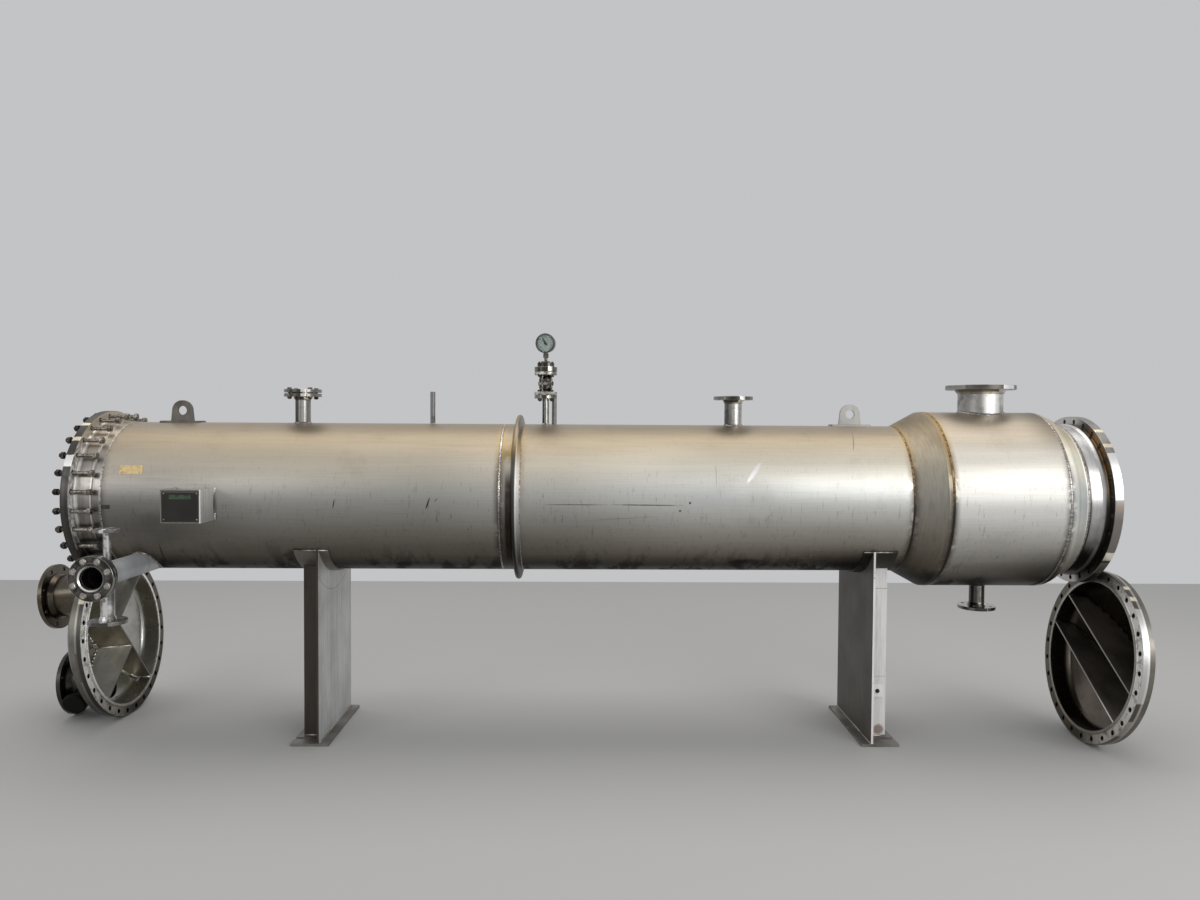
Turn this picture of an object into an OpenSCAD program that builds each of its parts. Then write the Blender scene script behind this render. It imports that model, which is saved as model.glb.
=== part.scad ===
// Shell and tube heat exchanger, six passes, with both channels taken off.
// Sizes in millimetres. +X runs along the vessel, +Z is up, and the origin is
// the centre of the left saddle's base plate, on the floor.

/* [Vessel] */
// Outside diameter of the main shell
shell_od = 740; // [650:1:780]
// Wall of the shell, the cone and the enlarged end
shell_wall = 6; // [4:0.5:10]
// Height of the vessel's axis above the floor
axis_height = 1188; // [980:1:1440]
// From the left saddle to the outer face of the left tubesheet
left_reach = 1106; // [950:1:1300]
// From the left saddle to the start of the cone
right_reach = 2888; // [2860:1:3300]
// Outside diameter of the enlarged end
enlarged_od = 886; // [850:1:1000]
// Length of the cone
cone_length = 160; // [110:1:220]
// Length of the enlarged cylinder
enlarged_length = 553; // [480:1:700]
// Length of the end reducer, with its knuckles
reducer_length = 111; // [80:1:140]
// Length of the right neck, from the reducer to the tubesheet
right_neck_length = 103; // [80:1:140]
// Length of the left neck, from the tubesheet to the shell
left_neck_length = 118; // [90:1:160]

/* [Expansion ring] */
// From the left saddle to the seam before the ring
ring_seam_reach = 915; // [800:1:1050]
// Length of the short course that carries the ring
ring_course_length = 100; // [90:1:160]
// Height of the ring above the shell
ring_height = 48; // [30:1:64]
// Thickness of the ring at its rim
ring_thickness = 25; // [18:1:34]

/* [Girth flanges and tubesheets] */
// Outside diameter of the tubesheets and channel flanges
girth_od = 850; // [830:1:1000]
// Circle of the girth bolts
girth_pcd = 800; // [785:1:930]
// Number of girth bolts
girth_bolts = 28; // [20:4:32]
// Diameter of the girth bolts
stud_d = 20; // [16:2:24]
// Play of a stud in its hole
girth_play = 4; // [2:1:6]
// Length of the studs left in the left tubesheet
stud_length = 178; // [150:1:190]
// How far the studs stand out of the left tubesheet's outer face
stud_out = 44; // [30:1:60]
// Thickness of the left tubesheet
left_sheet_t = 37; // [30:1:50]
// Thickness of the right tubesheet
right_sheet_t = 42; // [35:1:60]

/* [Tubes] */
// Outside diameter of a tube
tube_od = 25; // [20:0.5:30]
// Wall of a tube
tube_wall = 2; // [1.5:0.1:2.6]
// Distance between neighbouring tubes
tube_pitch = 33; // [31:0.5:44]
// Width of a pass lane that holds no tubes
lane_width = 44; // [36:1:60]
// How far a tube stands out of its tubesheet
tube_stick_out = 4; // [2:0.5:6]
// Gap between a tube and its hole
tube_gap = 0.2; // [0.1:0.05:0.4]

/* [Top and bottom nozzles] */
// Place of the left nozzle with the blind flange
nozzle_a_x = -116; // [-250:1:60]
// Nominal bore of that nozzle
nozzle_a_dn = 65; // [50,65,80]
// Height of its flange face above the shell
nozzle_a_rise = 150; // [110:1:200]
// Thickness of the blind flange
blind_t = 18; // [14:1:24]
// Place of the middle nozzle
nozzle_b_x = 2078; // [1500:1:2300]
// Nominal bore of the middle nozzle
nozzle_b_dn = 80; // [50,65,80]
// Height of its flange face above the shell
nozzle_b_rise = 149; // [110:1:200]
// Place of the large nozzle and the drain on the enlarged end
nozzle_c_x = 3352; // [3250:1:3460]
// Nominal bore of the large nozzle
nozzle_c_dn = 200; // [80,200]
// Height of its flange face above the enlarged shell
nozzle_c_rise = 140; // [110:1:200]
// Nominal bore of the drain
drain_dn = 65; // [50,65,80]
// Reach of the drain below the enlarged shell
drain_drop = 127; // [100:1:180]
// Place of the lone vent tube
vent_tube_x = 543; // [300:1:800]
// Outside diameter of the two plain tubes on top
vent_od = 25; // [18:1:34]
// Wall of the two plain tubes
vent_wall = 2.5; // [1.5:0.5:4]
// Height of the plain tubes above the top of the shell
vent_rise = 162; // [100:1:200]

/* [Front nozzle] */
// Place of the front nozzle along the vessel
front_x = -824; // [-870:1:-560]
// How far its axis lies below the vessel's axis
front_drop = 312; // [200:1:318]
// From the vessel's axis to its outer face
front_reach = 690; // [600:1:760]
// Outside diameter of the front nozzle's pipe
front_pipe_od = 104; // [76:1:104]
// Wall of the front nozzle's pipe
front_pipe_wall = 3; // [1.5:0.5:4]
// From the vessel's axis to the two stubs
stub_reach = 548; // [500:1:560]
// Nominal bore of the upper stub
upper_stub_dn = 25; // [25,50]
// Height of the upper stub's face above the nozzle axis
upper_stub_rise = 205; // [150:1:240]
// Nominal bore of the lower stub
lower_stub_dn = 50; // [25,50]
// Drop of the lower stub's face below the nozzle axis
lower_stub_drop = 226; // [160:1:260]
// Joint gap between two bolted flanges
gasket_t = 2; // [1:0.5:4]

/* [Pressure gauge] */
// Place of the gauge along the vessel
gauge_x = 1118; // [1080:1:1300]
// Outside diameter of the riser pipe
riser_od = 33.7; // [28:0.1:42]
// Height of the riser flange's face above the shell
riser_rise = 147; // [110:1:200]
// Length of the isolation valve, face to face
valve_length = 118; // [100:1:150]
// Width of the valve's body
valve_width = 68; // [50:1:80]
// Outside diameter of the flanges on the riser, valve and seal
small_flange_od = 115; // [100:1:125]
// Thickness of those flanges
small_flange_t = 16; // [12:1:20]
// Thickness of the seal's lower part
seal_lower_t = 22; // [16:1:30]
// Diameter of the seal's lid
seal_lid_od = 86; // [70:1:100]
// Thickness of the seal's lid
seal_lid_t = 22; // [16:1:30]
// Length of the gauge's stem
stem_length = 49; // [35:1:70]
// Diameter of the gauge
gauge_d = 100; // [80:1:120]
// Depth of the gauge's case
gauge_depth = 48; // [36:1:60]
// Turn of the gauge to the left, seen from above, in degrees
gauge_turn = 12; // [0:1:30]
// Distance of the second plain tube to the right of the gauge
level_tube_step = 41; // [30:1:60]
// Distance of the second plain tube behind the gauge
level_tube_back = 72; // [70:1:110]

/* [Lifting lugs] */
// Place of the left lug
lug_left_x = -724; // [-840:1:-500]
// Place of the right lug
lug_right_x = 2678; // [2560:1:2760]
// Width of a lug
lug_width = 114; // [90:1:140]
// Height of the lug's hole above the shell
lug_hole_height = 60; // [50:1:80]
// Diameter of the lug's hole
lug_hole_d = 46; // [30:1:56]
// Thickness of a lug
lug_t = 16; // [12:1:25]
// Length of the pad under a lug
lug_pad_length = 197; // [160:1:240]
// Thickness of the lug pads and wear plates
pad_t = 8; // [5:1:12]

/* [Nameplate bracket] */
// Left edge of the bracket
bracket_x = -597; // [-680:1:-450]
// Width of the bracket
bracket_w = 181; // [140:1:220]
// Height of the bracket
bracket_h = 152; // [120:1:180]
// Bottom edge of the bracket, from the floor
bracket_z = 1102; // [1060:1:1150]
// From the vessel's axis to the bracket's front
bracket_reach = 525; // [460:1:560]
// Thickness of the bracket's sheet
bracket_t = 3; // [2:0.5:5]

/* [Saddles] */
// Distance between the two saddles' base plates
saddle_spacing = 2765; // [2280:1:2790]
// Width of a base plate, along the vessel
base_w = 182; // [150:1:220]
// Length of a base plate, across the vessel
base_length = 600; // [490:1:720]
// Thickness of a base plate
base_t = 14; // [10:1:20]
// From the base plate's centre to the web's inner face
web_offset = 46; // [30:1:60]
// Thickness of webs and ribs
web_t = 10; // [8:1:16]
// Width of a rib
rib_w = 97; // [70:1:110]
// Distance between the two ribs of a saddle
rib_spacing = 344; // [280:1:400]
// Half the angle that a wear plate covers
wear_angle = 50; // [42:1:58]
// Width of a wear plate
wear_w = 166; // [140:1:190]
// Width of the anchor notches
notch_w = 24; // [18:1:30]
// Length of the anchor notches
notch_length = 72; // [50:1:80]
// Distance between the two anchor notches of a saddle
notch_spacing = 440; // [400:1:480]

/* [Channels] */
// Thickness of a channel flange
channel_flange_t = 34; // [28:1:45]
// Length of the hub ring behind a channel flange
channel_hub_t = 28; // [20:1:40]
// Step from a channel flange to its hub ring
channel_hub_step = 6; // [3:1:12]
// Wall of the channel heads
head_wall = 7; // [5:1:10]
// Thickness of the pass partitions
partition_t = 8; // [6:1:12]
// Distance between the two parallel partitions
band = 187; // [156:1:226]
// Roll of the tube layout about the vessel's axis, in degrees
pass_roll = 35; // [0:1:90]
// Roll of the left channel about its own axis, in degrees
left_roll = 37; // [0:1:90]
// Roll of the right channel about its own axis, in degrees
right_roll = 29.5; // [0:0.5:90]
// From the vessel's axis back to the left channel's axis
left_channel_back = 206; // [100:1:320]
// From the vessel's axis forward to the right channel's axis
right_channel_front = 198; // [80:1:260]
// Lean of the right channel, in degrees
right_lean = 6.4; // [4:0.1:12]
// Gap between the left channel and the studs of the vessel
left_gap = 8; // [5:1:90]
// Gap between the right channel and the vessel
right_gap = 15; // [10:1:90]
// Radius of the knuckle of a dished head
head_knuckle = 48; // [40:1:80]
// Height of the gasket lip on a channel flange
lip_height = 3; // [1:0.5:5]
// Nominal bore of the left channel's two nozzles
channel_dn = 200; // [80,200]
// From the left channel's face to its upper nozzle's face
upper_nozzle_reach = 349; // [300:1:380]
// From the left channel's face to its lower nozzle's face
lower_nozzle_reach = 301; // [270:1:320]
// From the left channel's axis to its nozzle axes
channel_nozzle_offset = 231; // [200:1:238]
// Diameter of the drain stub on the left channel's lower nozzle
drain_stub_od = 60; // [30:1:76]
// From that nozzle's axis to the middle of the drain stub's cap
drain_reach = 168; // [150:1:200]
// Diameter of the drain stub's cap
cap_od = 115; // [90:1:140]
// Thickness of the drain stub's cap
cap_t = 24; // [14:1:34]

/* [Hidden] */

steel = [0.62, 0.61, 0.58];
bright_steel = [0.75, 0.75, 0.74];
dull_steel = [0.48, 0.47, 0.45];
black = [0.08, 0.08, 0.08];

big_fn = 128;
fine_fn = 360;
mid_fn = 64;
small_fn = 32;
eps = 1;
seat = 0.3;
far_cut = 2000;

shell_r = shell_od / 2;
shell_ri = shell_r - shell_wall;
enlarged_r = enlarged_od / 2;
girth_r = girth_od / 2;
neck_t = shell_wall + 8;
end_r = shell_r + 20;
shell_top = axis_height + shell_r;

left_face_x = -left_reach;
left_back_x = left_face_x + left_sheet_t;
shell_start_x = left_back_x + left_neck_length;
ring_start_x = ring_seam_reach;
ring_end_x = ring_start_x + ring_course_length;
cone_x = right_reach;
enlarged_x = cone_x + cone_length;
reducer_x = enlarged_x + enlarged_length;
right_neck_x = reducer_x + reducer_length;
right_back_x = right_neck_x + right_neck_length;
right_face_x = right_back_x + right_sheet_t;

// Flange sizes by nominal bore: diameter, bolt circle, bolts, hole, thickness,
// raised face, pipe diameter, pipe wall
function flange(dn) =
    dn == 25 ? [115, 85, 4, 14, 16, 68, 33.7, 2.6] :
    dn == 50 ? [165, 125, 4, 18, 18, 102, 60.3, 2.9] :
    dn == 65 ? [185, 145, 4, 18, 18, 122, 76.1, 2.9] :
    dn == 80 ? [200, 160, 8, 18, 20, 138, 88.9, 3.2] :
    [340, 295, 8, 22, 24, 268, 219.1, 4.5];
function fl_od(dn) = flange(dn)[0];
function fl_pcd(dn) = flange(dn)[1];
function fl_bolts(dn) = flange(dn)[2];
function fl_hole(dn) = flange(dn)[3];
function fl_t(dn) = flange(dn)[4];
function fl_face(dn) = flange(dn)[5];
function pipe_od(dn) = flange(dn)[6];
function pipe_id(dn) = flange(dn)[6] - 2 * flange(dn)[7];
raised = 2;
front_dn = 80;
front_bore = front_pipe_od - 2 * front_pipe_wall;

// Height of a circle of radius r at the distance y from its middle
function rise_at(r, y) = sqrt(r * r - y * y);

// Turns a profile of [radius, distance] points about the vessel's axis
module along_x() { translate([0, 0, axis_height]) rotate([0, 90, 0]) rotate_extrude($fn = big_fn) children(); }

module shell_course(x0, x1, ro, wall) {
    along_x() translate([ro - wall, x0]) square([wall, x1 - x0]);
}

// Cuts the vessel's wall for a pipe that stands at x
module top_hole(x, d) { translate([x, 0, axis_height]) cylinder(h = far_cut, d = d + 2 * seat, $fn = mid_fn); }

// Bolt holes about the Z axis, straddling the centre lines
module bolt_holes(pcd, n, d) {
    for (i = [0 : n - 1])
        rotate([0, 0, (i + 0.5) * 360 / n]) translate([pcd / 2, 0, -eps]) cylinder(h = 80, d = d, $fn = small_fn);
}

// Welding-neck flange with its pipe, flange face up at z = length
module flanged_pipe(dn, length, od = 0, id = 0) {
    ro = (od > 0 ? od : pipe_od(dn)) / 2;
    ri = (od > 0 ? id : pipe_id(dn)) / 2;
    t = fl_t(dn);
    hub = ro * 1.1 + 3;
    back = length - t;
    difference() {
        rotate_extrude($fn = mid_fn)
            polygon([[ri, 0], [ro, 0], [ro, back - t], [hub, back - 4], [hub, back], [fl_od(dn) / 2 - 1, back],
                     [fl_od(dn) / 2, back + 1], [fl_od(dn) / 2, length - raised - 1],
                     [fl_od(dn) / 2 - 1, length - raised], [fl_face(dn) / 2, length - raised],
                     [fl_face(dn) / 2, length], [ri, length]]);
        translate([0, 0, back]) bolt_holes(fl_pcd(dn), fl_bolts(dn), fl_hole(dn));
    }
}

// Loose ring that bolts against a flanged pipe, its face up at z = thickness
module counter_ring(dn, bore) {
    bevel = 5;
    difference() {
        rotate_extrude($fn = mid_fn)
            polygon([[bore / 2, 0], [fl_face(dn) / 2, 0], [fl_face(dn) / 2, raised],
                     [fl_od(dn) / 2, raised], [fl_od(dn) / 2, fl_t(dn) - raised - 1],
                     [fl_od(dn) / 2 - 1, fl_t(dn) - raised], [fl_face(dn) / 2, fl_t(dn) - raised],
                     [fl_face(dn) / 2, fl_t(dn)], [bore / 2 + bevel, fl_t(dn)], [bore / 2, fl_t(dn) - bevel]]);
        bolt_holes(fl_pcd(dn), fl_bolts(dn), fl_hole(dn));
    }
}

// Set-through nozzle on top of a shell of radius ro, with a flat inner end
module top_nozzle(x, dn, rise, ro) {
    inner_end = rise_at(ro - shell_wall, pipe_od(dn) / 2) - 6;
    translate([x, 0, axis_height + inner_end]) flanged_pipe(dn, ro + rise - inner_end);
}

module left_tubesheet() color(bright_steel) tubesheet(left_face_x, left_sheet_t);
module right_tubesheet() color(bright_steel) tubesheet(right_back_x, right_sheet_t);

tube_field_r = shell_ri - 14;
row_step = tube_pitch * sqrt(3) / 2;
rows = floor(tube_field_r / row_step) + 1;

// Rows between the two band lanes, then the rows outside them, in the rolled frame
band_rows = floor((band - lane_width) / row_step);
band_first = -band_rows * row_step / 2;
row_heights = concat(
    [for (j = [0 : band_rows]) band_first + j * row_step],
    [for (s = [-1, 1]) for (j = [0 : rows]) s * (band / 2 + lane_width / 2 + j * row_step)]);
tube_places = [
    for (i = [0 : len(row_heights) - 1])
        for (s = [-1, 1]) for (k = [0 : ceil(tube_field_r / tube_pitch)])
            let (y = s * (lane_width / 2 + (k + 0.5 * (i % 2)) * tube_pitch))
                if (norm([y, row_heights[i]]) < tube_field_r - tube_od / 2) [y, row_heights[i]]];

// Puts its children at each tube, along the vessel, from x
module each_tube(x) {
    translate([x, 0, axis_height]) rotate([pass_roll, 0, 0])
        for (p = tube_places) translate([0, p[0], p[1]]) rotate([0, 90, 0]) children();
}

module tubesheet(x, t) {
    difference() {
        translate([x, 0, axis_height]) rotate([0, 90, 0]) difference() {
            rotate_extrude($fn = big_fn)
                polygon([[0, 0], [girth_r - 2, 0], [girth_r, 2], [girth_r, t - 2], [girth_r - 2, t], [0, t]]);
            girth_holes(t);
        }
        each_tube(x - eps) cylinder(h = t + 2 * eps, d = tube_od + 2 * tube_gap, $fn = small_fn);
    }
}

module girth_holes(t) {
    for (i = [0 : girth_bolts - 1])
        rotate([0, 0, (i + 0.5) * 360 / girth_bolts]) translate([girth_pcd / 2, 0, -eps])
            cylinder(h = t + 2 * eps, d = stud_d + girth_play, $fn = small_fn);
}

module tubes() color(dull_steel) {
    each_tube(left_face_x - tube_stick_out) difference() {
        cylinder(h = right_face_x - left_face_x + 2 * tube_stick_out, d = tube_od, $fn = small_fn);
        translate([0, 0, -eps])
            cylinder(h = right_face_x - left_face_x + 2 * tube_stick_out + 2 * eps, d = tube_od - 2 * tube_wall,
                     $fn = small_fn);
    }
}

// Forged neck with a slope down to the shell, its wide end at the tubesheet
module left_neck() color(bright_steel) {
    collar = 34;
    along_x() polygon([[shell_ri, left_back_x], [shell_r + 12, left_back_x], [shell_r + 7, left_back_x + 8],
                       [shell_r + 7, shell_start_x - collar - 3], [shell_r + 2.5, shell_start_x - collar],
                       [shell_r + 2.5, shell_start_x - 3], [shell_r, shell_start_x], [shell_ri, shell_start_x]]);
}

module shell_left() color(steel) difference() {
    shell_course(shell_start_x, ring_start_x, shell_r, shell_wall);
    top_hole(nozzle_a_x, pipe_od(nozzle_a_dn));
    top_hole(vent_tube_x, vent_od);
    front_hole();
}

module shell_right() color(steel) difference() {
    shell_course(ring_end_x, cone_x, shell_r, shell_wall);
    top_hole(gauge_x, riser_od);
    translate([0, level_tube_back, 0]) top_hole(gauge_x + level_tube_step, vent_od);
    top_hole(nozzle_b_x, pipe_od(nozzle_b_dn));
}

// Short course with one thin convolution, rounded at its rim and open inside
module expansion_ring() color(dull_steel) {
    mid = ring_end_x - 26;
    tip_r = ring_thickness / 2;
    wall = 5;
    rim = shell_r + ring_height - tip_r;
    foot = ring_thickness / 2 + 10;
    steps = 8;
    outer = [for (i = [0 : steps]) let (a = -90 + i * 180 / steps) [rim + tip_r * cos(a), mid + tip_r * sin(a)]];
    inner = [for (i = [steps : -1 : 0]) let (a = -90 + i * 180 / steps)
                [rim + (tip_r - wall) * cos(a), mid + (tip_r - wall) * sin(a)]];
    along_x() polygon(concat(
        [[shell_ri, ring_start_x], [shell_r, ring_start_x], [shell_r, mid - foot]], outer,
        [[shell_r, mid + foot], [shell_r, ring_end_x], [shell_ri, ring_end_x], [shell_ri, mid + foot - wall]], inner,
        [[shell_ri, mid - foot + wall]]));
}

// Straight slope between two cylinders, with a short straight lip at each end
module slope(x0, x1, r0, r1) {
    low_lip = 3;
    high_lip = 23;
    along_x() polygon([[r0 - shell_wall, x0], [r0, x0], [r0, x0 + low_lip], [r1, x1 - high_lip], [r1, x1],
                       [r1 - shell_wall, x1], [r1 - shell_wall, x1 - high_lip], [r0 - shell_wall, x0 + low_lip]]);
}

module cone() color(dull_steel) slope(cone_x, enlarged_x, shell_r, enlarged_r);

module enlarged_shell() color(steel) difference() {
    shell_course(enlarged_x, reducer_x, enlarged_r, shell_wall);
    top_hole(nozzle_c_x, pipe_od(nozzle_c_dn));
    mirror([0, 0, 1]) translate([0, 0, -2 * axis_height]) top_hole(nozzle_c_x, pipe_od(drain_dn));
}

// Pressed reducer: a round knuckle falls from the enlarged shell to a short cone
module end_reducer() color(steel) {
    knuckle = min(60, (enlarged_r - end_r) * 1.1);
    steps = 8;
    sweep = 58;
    bend = function(r) [for (i = [0 : steps]) let (a = i * sweep / steps)
        [enlarged_r - knuckle + r * cos(a), reducer_x + 8 + r * sin(a)]];
    outer = bend(knuckle);
    inner = bend(knuckle - shell_wall);
    count = len(inner);
    along_x() polygon(concat(
        [[enlarged_r - shell_wall, reducer_x], [enlarged_r, reducer_x]], outer,
        [[end_r, right_neck_x - 10], [end_r, right_neck_x], [end_r - shell_wall, right_neck_x],
         [end_r - shell_wall, right_neck_x - 12]],
        [for (i = [count - 1 : -1 : 0]) inner[i]]));
}

module right_neck() color(bright_steel) {
    along_x() polygon([[end_r - shell_wall, right_neck_x], [end_r, right_neck_x], [end_r - 10, right_neck_x + 18],
                       [end_r - 10, right_back_x - 34], [end_r - 2, right_back_x - 22],
                       [end_r - 2, right_back_x], [shell_ri, right_back_x], [shell_ri, right_neck_x + 30]]);
}

// Hexagon nut about the Z axis
module nut(d, t) { cylinder(h = t, d = d * 1.7, $fn = 6); }

// Studs left in the left tubesheet, with a slack nut outside and one on the inner end
module girth_studs() color(dull_steel) {
    nut_t = stud_d * 0.8;
    stick = 7;
    translate([left_face_x, 0, axis_height - girth_play / 2 + seat]) rotate([0, 90, 0])
        for (i = [0 : girth_bolts - 1])
            rotate([0, 0, (i + 0.5) * 360 / girth_bolts]) translate([girth_pcd / 2, 0, -stud_out]) {
                cylinder(h = stud_length, d = stud_d, $fn = small_fn);
                translate([0, 0, stick]) nut(stud_d, nut_t);
                translate([0, 0, stud_length - nut_t - 2]) nut(stud_d, nut_t);
            }
}

module nozzle_a() color(bright_steel) top_nozzle(nozzle_a_x, nozzle_a_dn, nozzle_a_rise, shell_r);
module nozzle_b() color(bright_steel) top_nozzle(nozzle_b_x, nozzle_b_dn, nozzle_b_rise, shell_r);
module nozzle_c() color(bright_steel) top_nozzle(nozzle_c_x, nozzle_c_dn, nozzle_c_rise, enlarged_r);

module drain_nozzle() color(bright_steel)
    mirror([0, 0, 1]) translate([0, 0, -2 * axis_height]) top_nozzle(nozzle_c_x, drain_dn, drain_drop, enlarged_r);

module blind_flange_a() color(bright_steel) {
    dn = nozzle_a_dn;
    translate([nozzle_a_x, 0, shell_top + nozzle_a_rise + gasket_t]) difference() {
        rotate_extrude($fn = mid_fn)
            polygon([[0, 0], [fl_face(dn) / 2, 0], [fl_face(dn) / 2, raised], [fl_od(dn) / 2, raised],
                     [fl_od(dn) / 2, blind_t - 1], [fl_od(dn) / 2 - 1, blind_t], [0, blind_t]]);
        bolt_holes(fl_pcd(dn), fl_bolts(dn), fl_hole(dn));
    }
}

// Plain tube set through the shell, its inner end flat
module plain_tube(x, y) {
    bottom = rise_at(shell_ri, abs(y) + vent_od / 2) - 4;
    translate([x, y, axis_height + bottom]) difference() {
        cylinder(h = shell_r + vent_rise - bottom, d = vent_od, $fn = small_fn);
        translate([0, 0, -eps]) cylinder(h = shell_r + vent_rise, d = vent_od - 2 * vent_wall, $fn = small_fn);
    }
}

module vent_tube() color(bright_steel) plain_tube(vent_tube_x, 0);
module level_tube() color(bright_steel) plain_tube(gauge_x + level_tube_step, level_tube_back);

front_z = axis_height - front_drop;
front_face_y = -front_reach + fl_t(front_dn) + gasket_t;

// Lies along -Y with the flange face at the front
module on_front(y) { translate([front_x, y, front_z]) rotate([90, 0, 0]) children(); }

module front_hole() {
    on_front(0) cylinder(h = shell_od, d = front_bore, $fn = mid_fn);
}

// Nozzle low on the near side, its pipe cut to the shell, with a stub up and a stub down
module front_nozzle() color(bright_steel) {
    length = -front_face_y;
    difference() {
        union() {
            on_front(0) flanged_pipe(front_dn, length, front_pipe_od, front_bore);
            translate([front_x, -stub_reach, front_z]) flanged_pipe(upper_stub_dn, upper_stub_rise);
            translate([front_x, -stub_reach, front_z]) mirror([0, 0, 1]) flanged_pipe(lower_stub_dn, lower_stub_drop);
        }
        on_front(-eps) cylinder(h = far_cut, d = front_bore, $fn = mid_fn);
        translate([front_x, -stub_reach, front_z]) cylinder(h = far_cut, d = pipe_id(upper_stub_dn), $fn = mid_fn);
        translate([front_x, -stub_reach, front_z - far_cut])
            cylinder(h = far_cut, d = pipe_id(lower_stub_dn), $fn = mid_fn);
        translate([front_x - fl_od(front_dn), 0, axis_height]) rotate([0, 90, 0])
            cylinder(h = 2 * fl_od(front_dn), r = shell_r + seat, $fn = fine_fn);
    }
}

module front_counter_flange() color(bright_steel)
    on_front(front_face_y - gasket_t) counter_ring(front_dn, front_bore + 3);

riser_face = shell_top + riser_rise;
valve_z = riser_face + gasket_t;
seal_z = valve_z + valve_length + gasket_t;
stem_z = seal_z + seal_lower_t + seal_lid_t;
gauge_z = stem_z + stem_length + gauge_d / 2;

// Flat disc with a bevelled edge
module disc(d, t) {
    rotate_extrude($fn = mid_fn) polygon([[0, 0], [d / 2 - 1, 0], [d / 2, 1], [d / 2, t - 1], [d / 2 - 1, t], [0, t]]);
}

small_pcd = small_flange_od - 30;

module gauge_riser() color(bright_steel) {
    bottom = rise_at(shell_ri, riser_od / 2) - 4;
    translate([gauge_x, 0, 0]) difference() {
        union() {
            translate([0, 0, axis_height + bottom])
                cylinder(h = riser_face - axis_height - bottom - 2, d = riser_od, $fn = mid_fn);
            translate([0, 0, riser_face - small_flange_t]) disc(small_flange_od, small_flange_t);
        }
        translate([0, 0, axis_height + bottom - eps]) cylinder(h = far_cut, d = riser_od - 7, $fn = mid_fn);
        translate([0, 0, riser_face - small_flange_t]) bolt_holes(small_pcd, 4, 14);
    }
}

// Short flanged ball valve: two flanges, a round body and a stub for its stem
module isolation_valve() color(dull_steel) translate([gauge_x, 0, valve_z]) {
    mid = valve_length / 2;
    neck = valve_width * 0.36;
    difference() {
        union() {
            disc(small_flange_od, small_flange_t);
            translate([0, 0, valve_length - small_flange_t]) disc(small_flange_od, small_flange_t);
            rotate_extrude($fn = mid_fn)
                polygon([[0, small_flange_t - 1], [neck, small_flange_t - 1], [neck, small_flange_t + 4],
                         [valve_width / 2, mid - 22], [valve_width / 2, mid + 22],
                         [neck, valve_length - small_flange_t - 4], [neck, valve_length - small_flange_t + 1],
                         [0, valve_length - small_flange_t + 1]]);
            translate([0, 0, mid]) rotate([-90, 0, 0]) cylinder(h = valve_width / 2 + 14, d = 26, $fn = small_fn);
            translate([0, valve_width / 2 + 13, mid]) rotate([-90, 0, 0]) cylinder(h = 14, d = 12, $fn = small_fn);
        }
        bolt_holes(small_pcd, 4, 14);
        translate([0, 0, valve_length - small_flange_t]) bolt_holes(small_pcd, 4, 14);
    }
}

module diaphragm_seal() color(bright_steel) translate([gauge_x, 0, seal_z]) {
    disc(small_flange_od, seal_lower_t);
    translate([0, 0, seal_lower_t - 1]) disc(seal_lid_od, seal_lid_t + 1);
}

// Flat ring between two bolted flanges
module gasket(outer, inner) {
    play = 0.02;
    difference() {
        translate([0, 0, play]) cylinder(h = gasket_t - 2 * play, d = outer, $fn = mid_fn);
        translate([0, 0, -eps]) cylinder(h = gasket_t + 2 * eps, d = inner, $fn = mid_fn);
    }
}

module gaskets() color(black) {
    for (z = [riser_face, seal_z - gasket_t])
        translate([gauge_x, 0, z]) gasket(small_pcd - 14, riser_od);
    translate([nozzle_a_x, 0, shell_top + nozzle_a_rise]) gasket(fl_face(nozzle_a_dn) - 8, pipe_id(nozzle_a_dn) + 4);
    on_front(front_face_y) gasket(fl_face(front_dn) - 8, front_bore + 4);
}

module gauge_stem() color(dull_steel) translate([gauge_x, 0, stem_z]) {
    hex_t = 23;
    cylinder(h = stem_length - hex_t + 1, d = 16, $fn = small_fn);
    cylinder(h = 7, d = 30, $fn = small_fn);
    translate([0, 0, stem_length - hex_t]) cylinder(h = hex_t - gauge_seat, d = 27, $fn = 6);
}

// Puts a piece that is modelled face up onto the gauge's place, face to the front
module on_gauge() { translate([gauge_x, 0, gauge_z]) rotate([90, 0, -gauge_turn]) children(); }

gauge_seat = 0.3;
gauge_wall = 2;
gauge_back = gauge_depth * 0.55;
gauge_front = gauge_depth - gauge_back;

// Round case, open at the front, with its bayonet ring
module gauge_case() color(dull_steel) on_gauge() {
    r = gauge_d / 2;
    rotate_extrude($fn = mid_fn)
        polygon([[0, -gauge_back], [r - 8, -gauge_back], [r - 4, -gauge_back + 4], [r - 4, gauge_front - 14],
                 [r, gauge_front - 14], [r, gauge_front - 2], [r - 2, gauge_front], [r - 7, gauge_front],
                 [r - 7, gauge_front - 4], [r - 6, gauge_front - 4], [r - 6, -gauge_back + 6],
                 [r - 9, -gauge_back + gauge_wall], [0, -gauge_back + gauge_wall]]);
}

module gauge_dial() color("honeydew") on_gauge() {
    translate([0, 0, gauge_front - 17]) cylinder(h = 1.5, r = gauge_d / 2 - 6.3, $fn = mid_fn);
    translate([0, 0, gauge_front - 15.5]) cylinder(h = 4, r = 4, $fn = small_fn);
}

module gauge_glass() color("lightcyan") on_gauge()
    translate([0, 0, gauge_front - 6.3]) cylinder(h = 2, r = gauge_d / 2 - 6.3, $fn = mid_fn);

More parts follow.
